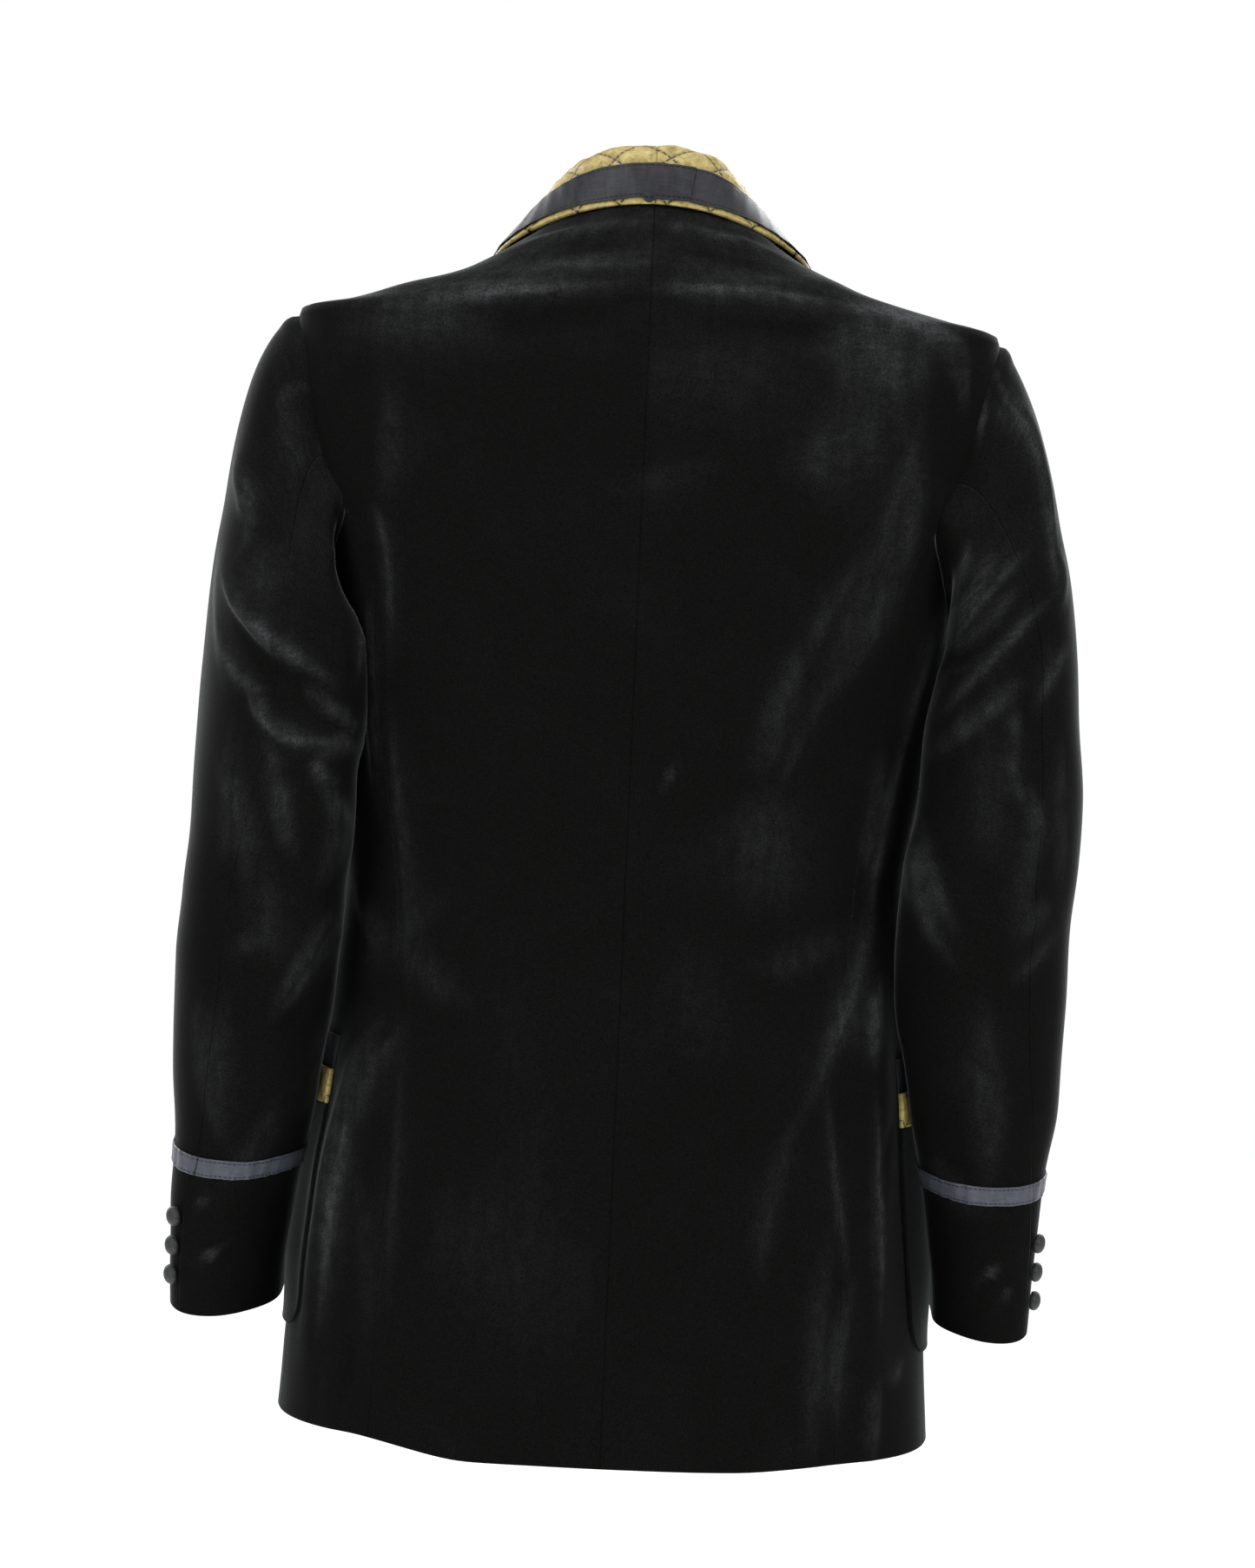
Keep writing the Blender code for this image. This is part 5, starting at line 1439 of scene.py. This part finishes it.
def quilted_satin_material():
    """Old-gold satin: a soft gloss that breaks over fine drags, and a dark quilting thread."""
    made, tree, shader = new_material(
        "quilted gold satin", Roughness=0.42, Specular_IOR_Level=0.4, Sheen_Weight=0.06,
        Sheen_Roughness=0.35, Sheen_Tint=(1.0, 0.92, 0.7, 1),
    )
    stitches = add_node(tree, "ShaderNodeGroup", node_tree=QUILTING_STITCHES)
    stitches.inputs["Spacing"].default_value = QUILT_SPACING * MM
    stitches.inputs["Thread"].default_value = 0.00038
    stitches.inputs["Stitch"].default_value = 0.0036
    cloth_map = add_node(tree, "ShaderNodeUVMap", uv_map="cloth").outputs[0]
    drags = noise(tree, cloth_map, 170.0, Detail=5.0, Roughness=0.62, Distortion=1.2)
    threads = noise(tree, stretched(tree, cloth_map, (300, 4200, 1)), 1.0, Detail=2.0)
    colour = mixed(tree, mapped(tree, drags, 0.32, 0.68), (0.165, 0.125, 0.030, 1),
                   (0.420, 0.335, 0.115, 1))
    shade = calculate(tree, "MULTIPLY", stitches.outputs["Dent"], 0.55)
    colour = mixed(tree, shade, colour, (0.120, 0.080, 0.018, 1))
    colour = mixed(tree, stitches.outputs["Thread Mask"], colour, (0.018, 0.013, 0.008, 1))
    height = calculate(tree, "MULTIPLY_ADD", drags, 1.6, threads)
    height = calculate(tree, "MULTIPLY_ADD", stitches.outputs["Dent"], -1.2, height)
    set_surface(tree, shader, colour, height, 0.5, 0.0007)
    return made


GOLD_SATIN = quilted_satin_material()

for side, word in WORDS.items():
    def collar_surface(across, up, out, side=side):
        along = SEAM / 2 + (COLLAR_END - SEAM / 2) * (1 - up)
        return collar_out(side, along, across, out)

    def collar_chart(across, up, side=side):
        along = SEAM / 2 + (COLLAR_END - SEAM / 2) * (1 - up)
        from_edge = (1 - across) / (1 - STAND_SHARE) * fall_length(side, along)
        return side * along + QUILT_SHIFT, from_edge

    shares = np.concatenate([[0, 0.01, 0.03], np.linspace(0.03, 0.25, 14)[1:],
                             np.linspace(0.25, 0.985, 44)[1:], [0.992, 0.996, 1.0]])
    collar_piece = cloth_wall("quilted_collar_" + word, shares, close_at_ends(300, COLLAR_END),
                              collar_surface, QUILT, GOLD_SATIN, COLLAR_WIDTH,
                              COLLAR_LENGTH, chart=collar_chart)
    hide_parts("collar_" + word)

# The collar ribbons: black satin ribbon sewn flat along the collar's fall, a little inside its
# edge, so that a narrow margin of gold shows below. The left one laps the right behind the neck.
COLLAR_RIBBON_ROOM = 0.9
COLLAR_RIBBON_JOIN = 19.0
COLLAR_RIBBON_LENGTH = 700.0
COLLAR_RIBBON_END_ROOM = 22.0
MARGIN_BREAK = 3.0
BLACK_RIBBON = satin_ribbon_material(
    "black satin ribbon", (0.008, 0.008, 0.010, 1), (0.026, 0.027, 0.031, 1), (0.8, 0.85, 1.0, 1),
    COLLAR_RIBBON_WIDTH, 0.46,
)

for side, word in WORDS.items():
    start = -COLLAR_RIBBON_JOIN if side > 0 else COLLAR_RIBBON_JOIN + SEAM
    finish = COLLAR_END - COLLAR_RIBBON_END_ROOM

    def ribbon_chart(across, up, start=start, finish=finish):
        return COLLAR_RIBBON_WIDTH * across, (finish - start) * (1 - up)

    def ribbon_surface(across, up, out, side=side, start=start, finish=finish):
        along = start + (finish - start) * (1 - up)
        length = fall_length(side, along)
        narrow = np.clip((length - 2 * COLLAR_RIBBON_MARGIN) / COLLAR_RIBBON_WIDTH, 0.1, 1)
        uneven = 0.45 * np.sin(along * 0.13 + 1.4 * np.sin(along * 0.047))
        if side > 0:
            uneven = uneven - COLLAR_RIBBON_MARGIN * np.exp(-(((along - MARGIN_BREAK) / 2.4) ** 4))
        from_edge = COLLAR_RIBBON_MARGIN + COLLAR_RIBBON_WIDTH * narrow * (1 - across)
        from_edge = np.clip(from_edge + uneven * across ** 6, 0.2, None)
        place = 1 - (1 - STAND_SHARE) * from_edge / length
        near_join = np.exp(-(((along - start) / 9) ** 2))
        pucker = 0.16 * np.sin(along * 0.52 + 2.2 * np.sin(along * 0.083 + 1.0) + 1.3 * across)
        pucker += 0.30 * near_join * np.sin(across * 15 + along * 0.3)
        lap = 0.5 * near_join if side > 0 else 0.0
        lift = np.where(out > -0.3, 0.2 + pucker + lap, 0.0)
        return collar_out(side, along, place, out + lift + COLLAR_RIBBON_ROOM + RIBBON, quilted=False)

    ribbon = cloth_wall("collar_ribbon_satin_" + word, close_at_ends(12, COLLAR_RIBBON_WIDTH),
                        close_at_ends(300, COLLAR_RIBBON_LENGTH), ribbon_surface, RIBBON,
                        BLACK_RIBBON, COLLAR_RIBBON_WIDTH, COLLAR_RIBBON_LENGTH, chart=ribbon_chart)
    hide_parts("collar_ribbon_" + word)

# The pockets: patches of velvet on the skirt of each front, with a quilted gold band and a
# black ribbon along the mouth and rounded lower corners. Their rear ends show behind the arms.
POCKET_ROOM = 0.8
POCKET_TOP = -510.0
POCKET_BOTTOM = -700.0
POCKET_RIBBON_WIDTH = 22.0
POCKET_BAND_WIDTH = 22.0
POCKET_CORNER = 28.0
POCKET_REAR_TURN = 25.0
POCKET_FRONT = 86.0
POCKET_WIDTH = 240.0
PATCH_HEIGHT = 146.0


def gape(turn, height):
    """How far the pocket stands away from the skirt at the hip, between its sewn edges."""
    at_hip = np.exp(-(((turn + 5) / 24) ** 2))
    return 5.0 * at_hip * smooth(-height, 500, 560) * (1 - smooth(-height, 650, 698))


def on_front(side, across, height, out, inset):
    """A point that far out of the front, by share across the pocket and height."""
    place = place_at(height)
    rear = POCKET_REAR_TURN - turn_for(place, POCKET_REAR_TURN, inset)
    front = -turn_at(place, POCKET_FRONT + inset)
    turn = front + (rear - front) * across
    return body_out(side, place, turn, out + POCKET_ROOM + gape(turn, height)), place, turn


for side, word in WORDS.items():
    def patch_height(up):
        top = POCKET_TOP - POCKET_RIBBON_WIDTH - POCKET_BAND_WIDTH - 2 * SEAM
        return POCKET_BOTTOM + (top - POCKET_BOTTOM) * up

    def patch_inset(up):
        low = np.clip(1 - (patch_height(up) - POCKET_BOTTOM) / POCKET_CORNER, 0, 1)
        return POCKET_CORNER * (1 - np.sqrt(1 - 0.98 * low * low))

    def patch_surface(across, up, out, side=side):
        return on_front(side, across, patch_height(up), out + VELVET, patch_inset(up))[0]

    def patch_painted_sheen_and_nap(across, up, side=side):
        place, turn = on_front(side, across, patch_height(up), np.zeros_like(up), patch_inset(up))[1:]
        return body_painted_sheen_and_nap(side, place, turn)

    def band_surface(across, up, out, side=side):
        height = POCKET_TOP - POCKET_RIBBON_WIDTH - SEAM - POCKET_BAND_WIDTH * (1 - up)
        outer = out > -1.2
        rise = outer * quilting(across * POCKET_WIDTH, up * POCKET_BAND_WIDTH)
        rise = rise + outer * 0.2 * wrinkles(across * POCKET_WIDTH, up * POCKET_BAND_WIDTH)
        return on_front(side, across, height, out + QUILT + rise, 0.0)[0]

    def mouth_surface(across, up, out, side=side):
        height = POCKET_TOP - POCKET_RIBBON_WIDTH * (1 - up)
        pucker = 0.14 * np.sin(across * 62 + 2 * np.sin(across * 13) + up)
        return on_front(side, across, height, out + RIBBON + np.where(out > -0.3, pucker, 0), 0.0)[0]

    def mouth_chart(across, up):
        return COLLAR_RIBBON_WIDTH * up, across * POCKET_WIDTH

    patch = cloth_wall("pocket_patch_" + word, close_at_ends(60, POCKET_WIDTH),
                       close_at_ends(46, PATCH_HEIGHT), patch_surface, VELVET, VELVET_CLOTH,
                       POCKET_WIDTH, PATCH_HEIGHT, backing=VELVET_BACK, painted_sheen_and_nap=patch_painted_sheen_and_nap)
    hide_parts("pocket_" + word)
    band = cloth_wall("pocket_band_quilted_" + word, close_at_ends(110, POCKET_WIDTH),
                      close_at_ends(14, POCKET_BAND_WIDTH), band_surface, QUILT, GOLD_SATIN,
                      POCKET_WIDTH, POCKET_BAND_WIDTH)
    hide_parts("pocket_band_" + word)
    mouth = cloth_wall("pocket_ribbon_satin_" + word, close_at_ends(96, POCKET_WIDTH),
                       close_at_ends(12, POCKET_RIBBON_WIDTH), mouth_surface, RIBBON, BLACK_RIBBON,
                       POCKET_WIDTH, POCKET_RIBBON_WIDTH, chart=mouth_chart)
    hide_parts("pocket_ribbon_" + word)

# The front button: one larger covered dome that closes the left front over the right, at the
# foot of the collar's roll.
FRONT_BUTTON = 20.0
FRONT_BUTTON_HEIGHT = -408.0

place = np.array(place_at(FRONT_BUTTON_HEIGHT))
point = body_out(1, place, np.array(-90.0), np.array(0.0))
above = body_out(1, place, np.array(-90.0), np.array(1.0))
button = covered_button("woven_front_button", point, above - point, FRONT_BUTTON, 1.6)
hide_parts("front_button")

# The stage: a pale floor well below the jacket, soft lights all round, and the camera behind
# the jacket at the height of the waist, turned a little as the photograph is.
floor_mesh = bmesh.new()
bmesh.ops.create_grid(floor_mesh, x_segments=1, y_segments=1, size=9,
                      matrix=Matrix.Translation((0, 0, -1.5)))
floor_data = bpy.data.meshes.new("floor")
floor_mesh.to_mesh(floor_data)
floor_mesh.free()
floor = bpy.data.objects.new("floor", floor_data)
bpy.context.scene.collection.objects.link(floor)
pale = new_material(
    "pale floor", Roughness=0.9, Base_Color=(0.90, 0.90, 0.90, 1), Emission_Color=(1, 1, 1, 1),
    Emission_Strength=0.55,
)[0]
floor_data.materials.append(pale)

world = bpy.data.worlds.new("studio")
world.use_nodes = True
bpy.context.scene.world = world
bpy.context.scene.view_settings.view_transform = "Standard"
sky = world.node_tree
backdrop = sky.nodes["Background"]
seen = add_node(sky, "ShaderNodeLightPath").outputs["Is Camera Ray"]
brightness = add_node(sky, "ShaderNodeMapRange", {"Value": seen, "To Min": 0.55, "To Max": 1.0})
sky.links.new(brightness.outputs["Result"], backdrop.inputs["Strength"])
backdrop.inputs["Color"].default_value = (1, 1, 1, 1)


def soft_light(name, place, size, watts):
    lamp = bpy.data.lights.new(name, "AREA")
    lamp.shape = "RECTANGLE"
    lamp.size, lamp.size_y = size
    lamp.energy = watts
    light = bpy.data.objects.new(name, lamp)
    light.location = place
    aim = Vector((0, 0, -0.35)) - light.location
    light.rotation_euler = aim.to_track_quat("-Z", "Y").to_euler()
    bpy.context.scene.collection.objects.link(light)


soft_light("key behind left", (1.7, 2.0, 1.1), (1.4, 1.8), 60)
soft_light("fill behind right", (-1.9, 1.8, 0.7), (1.4, 1.8), 42)
soft_light("overhead", (0.0, 0.3, 2.4), (2.2, 1.6), 45)
soft_light("key in front", (-1.2, -2.2, 1.0), (1.4, 1.8), 60)
soft_light("fill in front", (1.6, -1.8, 0.4), (1.2, 1.6), 42)

CAMERA_DISTANCE = 2.20
BACK_FROM_MIDDLE = 0.05
lens = bpy.data.cameras.new("camera")
lens.sensor_fit = "VERTICAL"
lens.sensor_height = 36
lens.lens = CAMERA_DISTANCE * lens.sensor_height / (PICTURE_HIGH * PIXEL)
lens.shift_x = -(CENTRE_LINE_PIXEL - PICTURE_WIDE / 2) / PICTURE_HIGH
camera = bpy.data.objects.new("camera", lens)
turned = Matrix.Rotation(math.pi, 4, "Z") @ Matrix.Rotation(math.pi / 2, 4, "X")
roll = Matrix.Rotation(PICTURE_ROLL, 4, "Z")
stand = Matrix.Translation((0, BACK_FROM_MIDDLE + CAMERA_DISTANCE, PICTURE_MIDDLE_HEIGHT))
camera.matrix_world = stand @ turned @ roll
bpy.context.scene.collection.objects.link(camera)
bpy.context.scene.camera = camera
